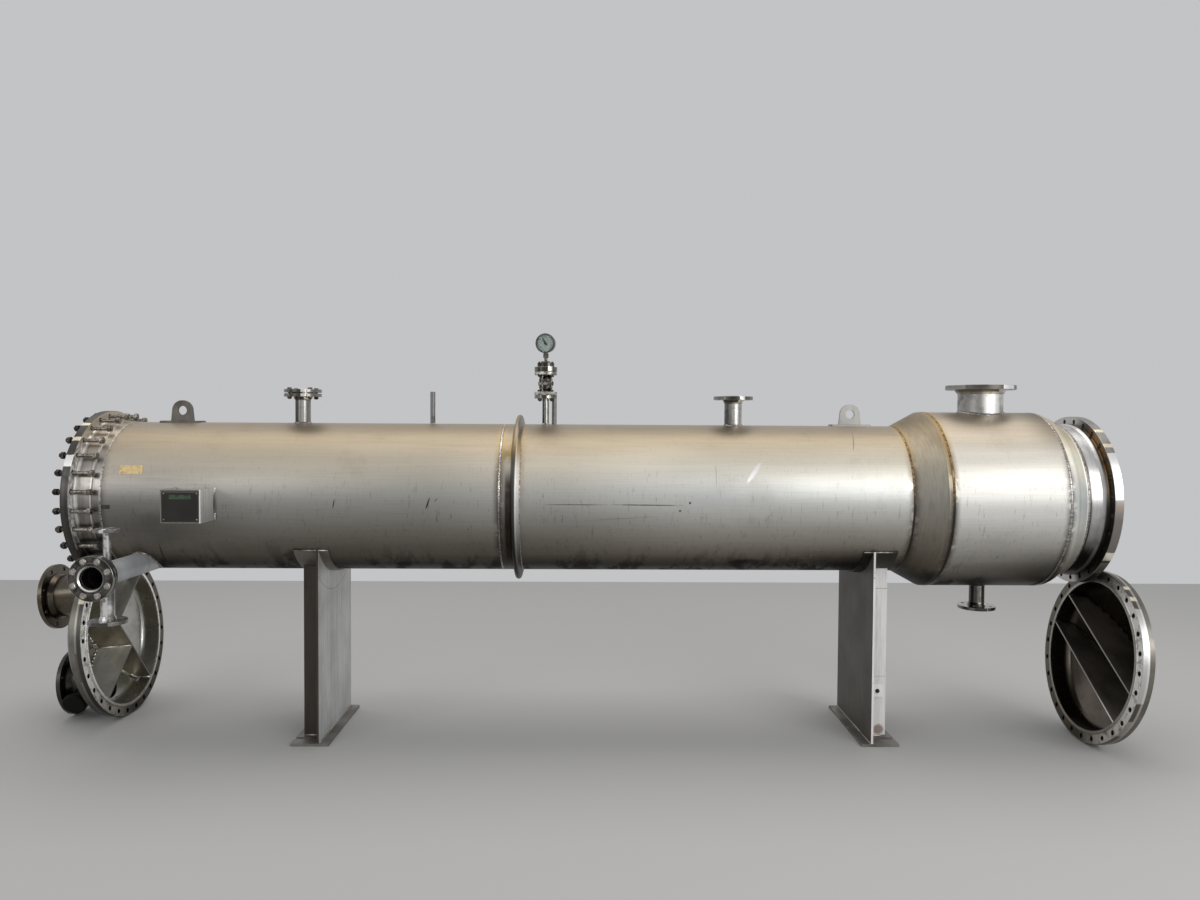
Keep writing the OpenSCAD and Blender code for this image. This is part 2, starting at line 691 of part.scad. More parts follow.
// Round-topped eye plate on a pad that is rolled to the shell
module lug(x) {
    pad_half = 42;
    shoulder = lug_width / 2;
    translate([x, 0, axis_height]) difference() {
        union() {
            rotate([0, 90, 0]) translate([0, 0, -lug_pad_length / 2]) difference() {
                cylinder(h = lug_pad_length, r = shell_r + pad_t, $fn = big_fn);
                translate([0, 0, -eps]) cylinder(h = lug_pad_length + 2 * eps, r = shell_r + seat, $fn = big_fn);
                translate([-far_cut / 2, pad_half, -eps]) cube([far_cut, far_cut, far_cut]);
                translate([-far_cut / 2, -pad_half - far_cut, -eps]) cube([far_cut, far_cut, far_cut]);
                translate([0, -far_cut / 2, -eps]) cube([far_cut, far_cut, far_cut]);
            }
            translate([0, lug_t / 2, shell_r + lug_hole_height]) rotate([90, 0, 0])
                cylinder(h = lug_t, r = shoulder - 6, $fn = mid_fn);
            translate([0, lug_t / 2, shell_r + pad_t - 2]) rotate([90, 0, 0]) linear_extrude(lug_t)
                polygon([[-shoulder, 0], [shoulder, 0], [shoulder - 6, lug_hole_height - pad_t + 2],
                         [6 - shoulder, lug_hole_height - pad_t + 2]]);
        }
        translate([0, lug_t, shell_r + lug_hole_height]) rotate([90, 0, 0])
            cylinder(h = 2 * lug_t, d = lug_hole_d, $fn = mid_fn);
    }
}

module lug_left() color(dull_steel) lug(lug_left_x);
module lug_right() color(bright_steel) lug(lug_right_x);

// Folded sheet: a front plate with two legs that are cut to the shell
module nameplate_bracket() color(steel) difference() {
    translate([bracket_x, -bracket_reach, bracket_z]) difference() {
        cube([bracket_w, bracket_reach - shell_r + 60, bracket_h]);
        translate([bracket_t, bracket_t, -eps]) cube([bracket_w - 2 * bracket_t, far_cut, bracket_h + 2 * eps]);
        translate([bracket_w - 2 * bracket_t, bracket_reach - shell_r - 16, 30])
            cube([4 * bracket_t, far_cut, bracket_h - 62]);
    }
    translate([bracket_x - eps, 0, axis_height]) rotate([0, 90, 0])
        cylinder(h = bracket_w + 2 * eps, r = shell_r + seat, $fn = big_fn);
}

module nameplate() color(black)
    translate([bracket_x + 6, -bracket_reach - 1.5, bracket_z + 5]) cube([bracket_w - 12, 1.5, bracket_h - 10]);

// Curved plate between the shell and a saddle, centred on x
module wear_plate(x) {
    reach = shell_r + pad_t;
    translate([x - wear_w / 2, 0, axis_height]) rotate([0, 90, 0]) difference() {
        rotate([0, 0, -wear_angle])
            rotate_extrude(angle = 2 * wear_angle, $fn = big_fn) translate([shell_r + seat, 0])
                square([pad_t - seat, wear_w]);
        translate([0, -far_cut / 2, -eps]) translate([-far_cut, 0, 0]) cube([far_cut, far_cut, far_cut]);
    }
}

// Web across the vessel with two ribs on its outer side, all cut to the wear plate
module saddle_web(x) {
    difference() {
        translate([x, 0, base_t]) {
            translate([web_offset - web_t, -base_length / 2 + 2, 0]) cube([web_t, base_length - 4, axis_height]);
            for (s = [-1, 1])
                translate([web_offset - web_t - rib_w, s * rib_spacing / 2 - web_t / 2, 0])
                    cube([rib_w + 1, web_t, axis_height - shell_r * 0.6]);
        }
        translate([x - base_w, 0, axis_height]) rotate([0, 90, 0])
            cylinder(h = 2 * base_w, r = shell_r + pad_t + seat, $fn = big_fn);
        translate([x - base_w, -base_length, axis_height - shell_r * cos(wear_angle) + seat])
            cube([2 * base_w, 2 * base_length, far_cut]);
    }
}

// Base plate with an anchor notch open to the outer edge near each end
module saddle_base(x) {
    difference() {
        translate([x - base_w / 2, -base_length / 2, 0]) cube([base_w, base_length, base_t]);
        for (s = [-1, 1]) translate([x - base_w / 2, s * notch_spacing / 2, -eps]) {
            translate([-eps, -notch_w / 2, 0])
                cube([notch_length - notch_w / 2 + eps, notch_w, base_t + 2 * eps]);
            translate([notch_length - notch_w / 2, 0, 0]) cylinder(h = base_t + 2 * eps, d = notch_w, $fn = small_fn);
        }
    }
}

// The right saddle is the left one mirrored
module at_right_saddle() { translate([saddle_spacing, 0, 0]) mirror([1, 0, 0]) children(); }

wear_shift = 8;
module left_wear_plate() color(dull_steel) wear_plate(wear_shift);
module left_saddle_web() color(steel) saddle_web(0);
module left_saddle_base() color(steel) saddle_base(0);
module right_wear_plate() color(dull_steel) at_right_saddle() wear_plate(wear_shift);
module right_saddle_web() color(steel) at_right_saddle() saddle_web(0);
module right_saddle_base() color(steel) at_right_saddle() saddle_base(0);

// Small tab with a bolt hole, welded flat on the front rib
module earthing_lug() color(bright_steel) {
    w = 54;
    h = 60;
    z = 211;
    x = saddle_spacing - web_offset + web_t + rib_w - w - 16;
    y = -rib_spacing / 2 - web_t / 2;
    difference() {
        translate([x, y - 8, z]) cube([w, 8, h]);
        translate([x + w / 2, y + eps, z + h / 2]) rotate([90, 0, 0]) cylinder(h = 12, d = 11, $fn = small_fn);
    }
}

hub_r = girth_r - channel_hub_step;
head_r = shell_r;
flange_back = channel_flange_t + channel_hub_t;
head_start = -flange_back - 6;

// A channel in its own place: face at z = 0, open upwards, body below. A narrow lip carries the gasket
module channel_ring() {
    lip_w = 12;
    difference() {
        rotate_extrude($fn = big_fn)
            polygon([[head_r - head_wall, 0], [head_r + lip_w - 1, 0], [head_r + lip_w, -1],
                     [head_r + lip_w, -lip_height], [girth_r - 1.5, -lip_height],
                     [girth_r, -lip_height - 1.5], [girth_r, -channel_flange_t],
                     [hub_r, -channel_flange_t - 1], [hub_r, -flange_back], [head_r + 4, -flange_back],
                     [head_r, head_start], [head_r - head_wall, head_start]]);
        translate([0, 0, -flange_back - 8]) girth_holes(flange_back + 8);
    }
}

crown_r = 2 * head_r * 0.95;
knuckle_z = head_start - 1;
crown_angle = asin((head_r - head_knuckle) / (crown_r - head_knuckle));
crown_z = knuckle_z + (crown_r - head_knuckle) * cos(crown_angle);

// Half profile of a dished head, from its rim to its middle
function dish(cut) = concat(
    [for (i = [0 : 6]) let (a = i * (90 - crown_angle) / 6)
        [head_r - head_knuckle + (head_knuckle - cut) * cos(a), knuckle_z - (head_knuckle - cut) * sin(a)]],
    [for (i = [1 : 10]) let (a = crown_angle * (1 - i / 10))
        [(crown_r - cut) * sin(a), crown_z - (crown_r - cut) * cos(a)]]);

module dished_head() {
    outer = dish(0);
    inner = dish(head_wall);
    count = len(inner);
    rotate_extrude($fn = big_fn)
        polygon(concat([[head_r - head_wall, head_start], [head_r, head_start]], outer,
                       [for (i = [count - 1 : -1 : 0]) inner[i]]));
}

// Space inside a channel, a little smaller so that a plate seats on the wall
module channel_inside() {
    inner = dish(head_wall + seat);
    rotate_extrude($fn = big_fn)
        polygon(concat([[0, -3], [head_r - head_wall - seat, -3]], inner));
}

// Straight plates across the whole channel at the given offsets
module band_plates(offsets) {
    intersection() {
        channel_inside();
        for (y = offsets) translate([-far_cut / 2, y - partition_t / 2, -far_cut / 2]) cube([far_cut, partition_t, far_cut]);
    }
}

// Centre plate with a half plate on either side
module six_pass_plates() {
    intersection() {
        channel_inside();
        union() {
            translate([-partition_t / 2, -far_cut / 2, -far_cut / 2]) cube([partition_t, far_cut, far_cut]);
            translate([0, band / 2 - partition_t / 2, -far_cut / 2]) cube([far_cut, partition_t, far_cut]);
            translate([-far_cut, -band / 2 - partition_t / 2, -far_cut / 2]) cube([far_cut, partition_t, far_cut]);
        }
    }
}

channel_flange_r = fl_od(channel_dn) / 2;
left_lean = atan2(girth_r - channel_nozzle_offset - channel_flange_r,
                  lower_nozzle_reach - raised - 1 - channel_flange_t);
vessel_bottom = axis_height - girth_r;
stud_end_x = left_face_x - stud_out;

// Height over the floor of the middle of a leaning channel's face
function channel_z(lean) = girth_r * cos(lean) + channel_flange_t * sin(lean);

left_z = channel_z(left_lean);
left_x = stud_end_x - left_gap + (vessel_bottom - left_z) * tan(left_lean);
right_z = channel_z(right_lean);
right_x = right_face_x + right_gap - (vessel_bottom - right_z) * tan(right_lean);

// Left channel: opens to +X, leans back to -X, standing on its rim and its lower nozzle
module at_left_channel() {
    translate([left_x, left_channel_back, left_z]) rotate([0, 90 - left_lean, 0]) rotate([0, 0, 90 + left_roll])
        children();
}

// Right channel: opens to -X, leans back to +X
module at_right_channel() {
    translate([right_x, -right_channel_front, right_z]) rotate([0, -90 + right_lean, 0])
        rotate([0, 0, -90 - right_roll]) children();
}

// The left channel's own frame turned back, so that local -X is up and -Y is the near side
module unrolled() { rotate([0, 0, -90 - left_roll]) children(); }

// Axes of the two nozzles: straight above and straight below the channel's axis
module at_channel_nozzle(side) { unrolled() translate([-side * channel_nozzle_offset, 0, 0]) children(); }

drain_fall = 26;
drain_depth = 216;
module at_drain() {
    at_channel_nozzle(-1) translate([0, 0, -drain_depth]) rotate([0, 90, drain_fall - 90]) children();
}

module left_channel_flange() color(steel) at_left_channel() channel_ring();

module left_channel_head() color(steel) at_left_channel() difference() {
    dished_head();
    for (side = [-1, 1]) at_channel_nozzle(side)
        translate([0, 0, -far_cut]) cylinder(h = far_cut, d = pipe_id(channel_dn), $fn = mid_fn);
}

// The space that a dished head fills, a little larger so that a pipe seats on it
module head_space() {
    rotate_extrude($fn = big_fn) polygon(concat([[0, 0], [head_r + seat, 0]], dish(-seat)));
}

module left_channel_partitions() color(steel) at_left_channel() six_pass_plates();

// Nozzle out of the back of the channel, its flange face away from the opening
module channel_nozzle(side, reach) {
    difference() {
        at_channel_nozzle(side) translate([0, 0, -flange_back]) mirror([0, 0, 1])
            flanged_pipe(channel_dn, reach - flange_back);
        head_space();
    }
}

module left_inlet_nozzle() color(bright_steel) at_left_channel() difference() {
    channel_nozzle(-1, lower_nozzle_reach);
    at_drain() cylinder(h = drain_reach, d = drain_stub_od + 2 * seat, $fn = mid_fn);
}
module left_outlet_nozzle() color(bright_steel) at_left_channel() channel_nozzle(1, upper_nozzle_reach);

// Short pipe on the side of the lower nozzle, with a ring under its cap
module left_channel_drain() color(bright_steel) at_left_channel() at_drain() {
    start = rise_at(pipe_id(channel_dn) / 2, drain_stub_od / 2) - 2;
    difference() {
        union() {
            translate([0, 0, start]) cylinder(h = drain_reach - start, d = drain_stub_od, $fn = mid_fn);
            translate([0, 0, drain_reach - 8]) cylinder(h = 8, d = cap_od - 12, $fn = mid_fn);
        }
        translate([0, 0, start - eps]) cylinder(h = drain_reach, d = drain_stub_od - 8, $fn = mid_fn);
    }
}

module drain_cap() color(black) at_left_channel() at_drain() translate([0, 0, drain_reach + seat])
    rotate_extrude($fn = mid_fn)
        polygon([[0, 0], [cap_od / 2 - 2, 0], [cap_od / 2, 2], [cap_od / 2, cap_t - 5],
                 [cap_od / 2 - 5, cap_t], [0, cap_t]]);

module right_channel_flange() color(steel) at_right_channel() channel_ring();
module right_channel_head() color(steel) at_right_channel() dished_head();
module right_channel_partitions() color(steel) at_right_channel() band_plates([-band / 2, band / 2]);

left_tubesheet();
left_neck();
shell_left();
expansion_ring();
shell_right();
cone();
enlarged_shell();
end_reducer();
right_neck();
right_tubesheet();
tubes();
girth_studs();
nozzle_a();
blind_flange_a();
nozzle_b();
nozzle_c();
drain_nozzle();
vent_tube();
level_tube();
front_nozzle();
front_counter_flange();
gauge_riser();
isolation_valve();
diaphragm_seal();
gaskets();
gauge_stem();
gauge_case();
gauge_dial();
gauge_glass();
lug_left();
lug_right();
nameplate_bracket();
nameplate();
left_wear_plate();
left_saddle_web();
left_saddle_base();
right_wear_plate();
right_saddle_web();
right_saddle_base();
earthing_lug();
left_channel_flange();
left_channel_head();
left_channel_partitions();
left_inlet_nozzle();
left_outlet_nozzle();
left_channel_drain();
drain_cap();
right_channel_flange();
right_channel_head();
right_channel_partitions();
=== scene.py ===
import math
from functools import cached_property

import bmesh
import bpy
from mathutils import Matrix, Vector


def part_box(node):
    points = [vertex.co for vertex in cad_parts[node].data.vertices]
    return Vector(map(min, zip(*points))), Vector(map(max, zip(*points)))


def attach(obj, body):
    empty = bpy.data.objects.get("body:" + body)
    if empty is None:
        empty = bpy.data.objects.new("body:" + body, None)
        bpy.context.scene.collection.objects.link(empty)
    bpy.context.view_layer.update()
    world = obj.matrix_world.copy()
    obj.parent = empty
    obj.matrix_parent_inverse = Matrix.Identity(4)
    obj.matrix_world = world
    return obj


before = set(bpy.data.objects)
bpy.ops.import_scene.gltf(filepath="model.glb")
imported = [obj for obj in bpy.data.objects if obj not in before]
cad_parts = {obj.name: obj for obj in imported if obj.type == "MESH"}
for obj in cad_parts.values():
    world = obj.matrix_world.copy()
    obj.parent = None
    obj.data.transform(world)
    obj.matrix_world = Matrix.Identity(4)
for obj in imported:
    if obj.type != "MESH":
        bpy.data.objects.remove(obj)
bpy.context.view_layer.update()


# Camera: stands in front of the vessel at eye height, turned a little to the right and down.
# Place, lens and turns come from the straight edges and the round flanges in the photo.
CAMERA_PLACE = (1.330, -4.6145, 1.5714)
CAMERA_YAW, CAMERA_PITCH, CAMERA_ROLL = 0.0145, 0.0311, 0.0059


def link(made):
    bpy.context.scene.collection.objects.link(made)
    return made


def move(x, y, z):
    return Matrix.Translation((x, y, z))


def turn(angle, axis):
    return Matrix.Rotation(angle, 4, axis)


camera_data = bpy.data.cameras.new("camera")
camera_data.sensor_width = 36.0
camera_data.lens = 27.04
camera_data.clip_end = 100.0
camera = link(bpy.data.objects.new("camera", camera_data))
bpy.context.scene.camera = camera
camera.matrix_world = (move(*CAMERA_PLACE) @ turn(-CAMERA_YAW, "Z") @ turn(math.pi / 2 - CAMERA_PITCH, "X")
                       @ turn(CAMERA_ROLL, "Z"))


# Shell: two long courses of rolled stainless sheet, brushed along their length when they were
# polished. Butt welded to each other and to the cone, with heat tint beside the seams.
AXIS_Z = 1.188
SHELL_R = 0.370
ENLARGED_R = 0.443


class Value:
    """A number in a shader tree, so that shader maths reads as maths"""

    def __init__(self, finish, socket):
        self.finish, self.socket = finish, socket

    def maths(self, operation, *values):
        return self.finish.node("ShaderNodeMath", {"operation": operation}, dict(enumerate(values)))

    def __add__(self, other):
        return self.maths("ADD", self, other)

    def __sub__(self, other):
        return self.maths("SUBTRACT", self, other)

    def __rsub__(self, other):
        return self.maths("SUBTRACT", other, self)

    def __mul__(self, other):
        return self.maths("MULTIPLY", self, other)

    def __truediv__(self, other):
        return self.maths("DIVIDE", self, other)

    def __pow__(self, other):
        return self.maths("POWER", self, other)

    def __abs__(self):
        return self.maths("ABSOLUTE", self)

    __radd__, __rmul__ = __add__, __mul__

    def clamp(self):
        return self.maths("MAXIMUM", self.maths("MINIMUM", self, 1.0), 0.0)

    def most(self, other):
        return self.maths("MAXIMUM", self, other)

    def step(self, low, high):
        """0 below low, 1 above high, smooth between; low may lie above high"""
        if low > high:
            return 1.0 - self.step(high, low)
        return self.finish.node("ShaderNodeMapRange", {"interpolation_type": "SMOOTHSTEP"},
                                {"Value": self, "From Min": low, "From Max": high})

    def near(self, middle, half_width):
        """1 at the middle, falling to 0 at half_width on either side"""
        return abs(self - middle).step(half_width, 0.0)

    def between(self, low, high, soft):
        """1 from low to high, with soft edges"""
        return self.step(low - soft, low + soft) * self.step(high + soft, high - soft)


class Finish:
    """A material on object coordinates, in metres, whose colour is painted on step by step"""

    def __init__(self, name, roughness=0.4, metallic=1.0, **constants):
        self.material = bpy.data.materials.new(name)
        self.material.use_nodes = True
        self.tree = self.material.node_tree
        self.shader = self.tree.nodes["Principled BSDF"]
        self.set("Roughness", roughness)
        self.set("Metallic", metallic)
        for key, value in constants.items():
            self.set(key.replace("_", " "), value)
        self.place = self.node("ShaderNodeTexCoord", out="Object")
        self.x, self.y, self.z = self.parts(self.place)

    @cached_property
    def ragged(self):
        return self.noise(34.0, 4.0, None, 0.65)

    @cached_property
    def smear(self):
        return self.noise(11.0, 4.0, None, 0.6)

    @cached_property
    def facing(self):
        return self.parts(self.node("ShaderNodeNewGeometry", out="Normal"))

    def plug(self, value, socket):
        if isinstance(value, Value):
            self.tree.links.new(value.socket, socket)
        elif isinstance(value, tuple) and len(value) == 3 and socket.type == "RGBA":
            socket.default_value = (*value, 1.0)
        else:
            socket.default_value = value

    def set(self, name, value):
        self.plug(value, self.shader.inputs[name])

    def node(self, kind, settings=None, inputs=None, out=0):
        """The one maker of nodes: first its settings or its ramp's stops, then its sockets"""
        made = self.tree.nodes.new(kind)
        for key, value in (settings or {}).items():
            if key == "stops":
                stops = made.color_ramp.elements
                stops.remove(stops[1])
                for number, (place, colour) in enumerate(value):
                    stop = stops.new(place) if number else stops[0]
                    stop.position, stop.color = place, (*colour, 1.0)
            else:
                setattr(made, key, value)
        for key, value in (inputs or {}).items():
            self.plug(value, made.inputs[key])
        return Value(self, made.outputs[out])

    def parts(self, vector):
        first = self.node("ShaderNodeSeparateXYZ", None, {0: vector})
        return [Value(self, socket) for socket in first.socket.node.outputs]

    def stretch(self, x, y, z):
        return self.node("ShaderNodeMapping", None, {"Vector": self.place, "Scale": (x, y, z)})

    def noise(self, scale, detail=3.0, vector=None, roughness=0.55):
        return self.node("ShaderNodeTexNoise", None, {"Vector": vector or self.place, "Scale": scale,
                                                      "Detail": detail, "Roughness": roughness})

    def ramp(self, value, *stops):
        return self.node("ShaderNodeValToRGB", {"stops": stops}, {0: value})

    def mix(self, factor, first, second, blend="MIX"):
        return self.node("ShaderNodeMix", {"data_type": "RGBA", "blend_type": blend},
                         {0: factor, 6: first, 7: second}, 2)

    def paint(self, factor, tone):
        """Lays the tone over the colour where the factor is 1"""
        self.colour = self.mix(factor, self.colour, tone)

    def tint(self, factor, tone):
        """Multiplies the colour by the tone where the factor is 1"""
        self.paint(factor, self.mix(1.0, self.colour, tone, "MULTIPLY"))

    def bump(self, height, distance, strength, below=None):
        inputs = {"Height": height, "Distance": distance, "Strength": strength}
        if below is not None:
            inputs["Normal"] = below
        return self.node("ShaderNodeBump", None, inputs)

    def close(self, roughness=None, height=None, distance=0.0, strength=1.0, below=None):
        """Gives the shader the colour, and where they are given the roughness and a bump"""
        self.set("Base Color", self.colour)
        if roughness is not None:
            self.set("Roughness", roughness)
        if height is not None:
            self.set("Normal", self.bump(height, distance, strength, below))
        return self

    def rise(self, radius):
        """0 at the bottom of a shell of this radius, 1 at its top"""
        return (self.z - (AXIS_Z - radius)) / (2 * radius)

    def around(self, middle_y=0.0, middle_z=AXIS_Z):
        """Distance from an axis along X, and degrees above the near horizontal"""
        near, up = middle_y - self.y, self.z - middle_z
        return (near * near + up * up) ** 0.5, up.maths("ARCTAN2", up, near) * (180 / math.pi)

    def scuff(self, x, z, half_x, half_z, lean):
        """1 in a ragged oval on the near side, 0 outside it"""
        along, up = self.x - x, self.z - z
        if lean:
            cos, sin = math.cos(lean), math.sin(lean)
            along, up = along * cos + up * sin, up * cos - along * sin
        oval = (along / half_x) ** 2 + (up / half_z) ** 2
        return (oval + self.ragged * 0.9).step(1.45, 0.75) * self.y.step(-0.05, -0.10)


def finish_node(finish, *names):
    """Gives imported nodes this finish"""
    for name in names:
        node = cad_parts[name]
        node.data.materials.clear()
        node.data.materials.append(finish.material)


# Share of the height and colour, all painted light and shade: a warm tan painted reflection on top, neutral grey in the
# middle and painted shade below
SHELL_TONES = ((0.00, (0.010, 0.008, 0.006)), (0.07, (0.014, 0.012, 0.010)), (0.15, (0.190, 0.168, 0.138)),
               (0.32, (0.275, 0.262, 0.234)), (0.47, (0.400, 0.393, 0.366)), (0.60, (0.470, 0.455, 0.415)),
               (0.74, (0.680, 0.620, 0.510)), (0.80, (0.620, 0.545, 0.430)), (0.87, (0.420, 0.355, 0.262)),
               (0.95, (0.345, 0.285, 0.205)), (1.00, (0.420, 0.365, 0.285)))
# The enlarged shell's painted shading by height, with bands of painted highlight
ENLARGED_TONES = ((0.00, (0.012, 0.010, 0.008)), (0.06, (0.040, 0.036, 0.030)), (0.12, (0.270, 0.250, 0.215)),
                  (0.20, (0.470, 0.450, 0.410)), (0.32, (0.590, 0.575, 0.535)), (0.45, (0.770, 0.765, 0.735)),
                  (0.52, (0.620, 0.615, 0.580)), (0.59, (0.490, 0.480, 0.450)), (0.66, (0.560, 0.545, 0.505)),
                  (0.72, (0.720, 0.690, 0.620)), (0.78, (0.920, 0.860, 0.760)), (0.84, (0.700, 0.625, 0.510)),
                  (0.90, (0.520, 0.450, 0.360)), (1.00, (0.420, 0.360, 0.280)))
STRAW, BRONZE, SCORCH = (0.52, 0.36, 0.15), (0.075, 0.040, 0.020), (0.045, 0.038, 0.031)
LEFT_SEAM, RING_SEAM, COURSE_SEAM, CONE_SEAM, ENLARGED_SEAM, REDUCER_SEAM = -0.951, 0.915, 1.010, 2.888, 3.048, 3.601
# Seams of the vessel: place, strength of the straw tint, strength of the dark line
SEAMS = ((LEFT_SEAM, 0.00, 0.45), (RING_SEAM, 0.75, 0.80), (COURSE_SEAM, 0.65, 0.12),
         (CONE_SEAM, 0.60, 0.70), (ENLARGED_SEAM, 0.85, 0.85), (REDUCER_SEAM, 0.00, 0.80))


def seam_tint(finish, rise, seams):
    """Thin dark lines along the seams, straw beside them on top and scorch further down"""
    for place, straw, line in seams:
        heat = finish.x.near(place, 0.034) * (0.35 + finish.ragged * 0.9)
        finish.paint(heat.clamp() * rise.step(0.42, 0.80) * straw, STRAW)
        core = finish.x.near(place, 0.011) * (0.55 + finish.ragged * 0.9)
        finish.paint(core.clamp() * line, BRONZE)
        scorch = (finish.smear + finish.ragged * 0.5).step(0.60, 0.76)
        scorch = finish.x.near(place, 0.036) * scorch * rise.step(0.84, 0.62)
        finish.paint(scorch * line * 0.95, SCORCH)


def rolled_sheet(name, radius, tones, marks=()):
    """Satin sheet of a shell of this radius, its colour painted by height as shade and reflection"""
    finish = Finish(name)
    rise = finish.rise(radius)
    waver = finish.noise(1.5, 3.0, finish.stretch(0.4, 1.0, 2.6))
    # Painted shade and reflection by height
    finish.colour = finish.ramp(rise + (waver - 0.5) * 0.08, *tones)
    if tones is SHELL_TONES:
        # Painted light: the right part of the shell is painted brighter across most of its height
        right_end = finish.x.step(0.9, 2.0) * rise.between(0.14, 0.88, 0.09)
        finish.tint(right_end, finish.mix(rise.step(0.40, 0.58), (1.68, 1.71, 1.75), (1.24, 1.29, 1.35)))
        finish.tint(finish.x.between(1.10, 1.75, 0.25) * rise.between(0.46, 0.86, 0.08), (1.2, 1.2, 1.2))
        finish.tint(finish.x.between(0.72, 1.10, 0.20) * rise.between(0.30, 0.88, 0.08), (1.2, 1.2, 1.21))
    else:
        finish.tint(finish.x.step(3.44, 3.62) * rise.step(0.72, 0.95), (0.45, 0.44, 0.43))
    # Painted shade: the left end is darker across the middle of its height
    finish.tint(finish.x.step(-0.10, -0.75) * rise.between(0.26, 0.72, 0.08), (0.66, 0.65, 0.66))
    brushing = finish.noise(60.0, 4.0, finish.stretch(0.06, 1.0, 3.0), 0.7)
    finish.tint((brushing - 0.42).step(0.0, 0.30) * 0.26, (0.72, 0.71, 0.70))
    cloud = finish.noise(4.0, 5.0, None, 0.65)
    finish.tint(cloud.step(0.54, 0.72) * 0.30, (0.74, 0.72, 0.69))
    seam_tint(finish, rise, SEAMS)
    stain = finish.noise(9.0, 6.0, finish.stretch(1.0, 0.4, 0.45), 0.7)
    low = rise.step(0.30, 0.02)
    finish.paint((stain.step(0.52, 0.62) * low).clamp() * 0.45, (0.016, 0.011, 0.008))
    flecks = finish.noise(1.0, 5.0, finish.stretch(90.0, 40.0, 11.0), 0.75)
    finish.tint(flecks.step(0.585, 0.65) * (0.18 + rise.step(0.80, 0.50) * 0.40), (0.50, 0.48, 0.46))
    finish.tint(finish.noise(170.0, 2.0).step(0.66, 0.72) * 0.5, (0.60, 0.57, 0.55))
    for x, z, half_x, half_z, lean, tone, strength in marks:
        finish.paint(finish.scuff(x, z, half_x, half_z, lean) * strength, tone)
    fine = finish.noise(420.0, 2.0, finish.stretch(0.05, 1.0, 2.5))
    waves = finish.bump(finish.noise(2.4, 2.0, finish.stretch(0.5, 1.0, 1.0)), 0.010, 0.30)
    return finish.close(0.32 + brushing * 0.14 + cloud * 0.08 + stain.step(0.5, 0.62) * low * 0.25,
                        brushing * 0.6 + fine * 0.4, 0.0004, 0.35, waves)


# Marks on the near side: x, z, half length, half height, lean, colour, strength
DULL, STAIN, PALE = (0.035, 0.030, 0.027), (0.014, 0.010, 0.008), (0.95, 0.94, 0.92)
SHELL_MARKS = ((0.582, 1.184, 0.036, 0.0045, 1.23, DULL, 0.9), (0.140, 1.179, 0.026, 0.0035, 1.39, DULL, 0.85),
               (0.620, 1.200, 0.014, 0.0030, 0.80, DULL, 0.6), (1.280, 1.180, 0.170, 0.0024, 0.0, DULL, 0.75),
               (1.610, 1.180, 0.190, 0.0028, -0.005, DULL, 0.9), (1.819, 1.191, 0.007, 0.007, 0.0, DULL, 0.9),
               (1.772, 1.153, 0.007, 0.005, 0.0, DULL, 0.9), (2.127, 1.335, 0.068, 0.013, 0.93, PALE, 0.9),
               (2.862, 1.276, 0.024, 0.027, 0.0, PALE, 0.9), (1.945, 1.322, 0.064, 0.0018, 1.57, DULL, 0.5),
               (2.633, 1.481, 0.058, 0.0024, 1.25, DULL, 0.6), (-0.715, 0.917, 0.074, 0.0060, 1.42, DULL, 0.8),
               (0.470, 0.860, 0.330, 0.024, 0.0, STAIN, 0.85), (2.120, 0.880, 0.105, 0.030, 0.0, STAIN, 0.9),
               (-0.070, 0.905, 0.075, 0.055, 0.0, STAIN, 0.6), (1.500, 1.115, 0.200, 0.0016, 0.06, DULL, 0.35))
finish_node(rolled_sheet("shell_sheet", SHELL_R, SHELL_TONES, SHELL_MARKS), "shell_left", "shell_right")
finish_node(rolled_sheet("enlarged_sheet", ENLARGED_R, ENLARGED_TONES), "enlarged_shell")


# Expansion ring, cone and reducer: pressed and spun pieces of the same stainless sheet, ground
# round their axis, darker than the shell, welded in by their two edges.
def ground_round(name, shade, upper, seams, roughness, contrast):
    """Sheet ground round the vessel's axis, with fine rings; its colour is the shell's painted shade and reflection by
    height, and its upper half has a painted tint of its own
    """
    finish = Finish(name)
    rise = finish.rise(ENLARGED_R)
    cloud = finish.noise(7.0, 5.0, None, 0.6)
    finish.colour = finish.ramp(rise + (cloud - 0.5) * 0.14, *SHELL_TONES)
    finish.colour = finish.mix(1.0, finish.colour, shade, "MULTIPLY")
    finish.tint(rise.step(0.36, 0.52), upper)
    grind = finish.noise(130.0, 4.0, finish.stretch(1.0, 0.10, 0.10), 0.7)
    finish.tint(grind.step(0.40, 0.70) * contrast, (0.55, 0.53, 0.50))
    seam_tint(finish, rise, seams)
    rings = finish.noise(900.0, 2.0, finish.stretch(1.0, 0.015, 0.015))
    return finish.close(roughness + grind * 0.18, grind * 0.5 + rings * 0.5, 0.0005, 0.4)


ring = Finish("ring_sheet")
rise, distance = ring.rise(SHELL_R), ring.around()[0]
cloud = ring.noise(14.0, 5.0, None, 0.65)
ring.colour = ring.ramp(rise, *SHELL_TONES)
# Painted shade in the hollow beside the ring, and a painted tan reflection on its top
hollow = ring.x.step(0.934, 0.950) * (0.55 + cloud * 0.8).clamp()
ring.paint(hollow * rise.step(0.74, 0.60), (0.055, 0.046, 0.036))
ring.paint(rise.between(0.76, 0.90, 0.04) * cloud.step(0.30, 0.60), (0.42, 0.31, 0.15))
# Painted shade on the lower half and on the ring's flank, with a painted tan reflection on the flank's top
ring.tint(rise.step(0.52, 0.30), (0.45, 0.43, 0.40))
ring.paint(distance.step(0.374, 0.380) * 0.9,
           ring.mix(rise.step(0.75, 0.9), (0.030, 0.026, 0.021), (0.34, 0.26, 0.15)))
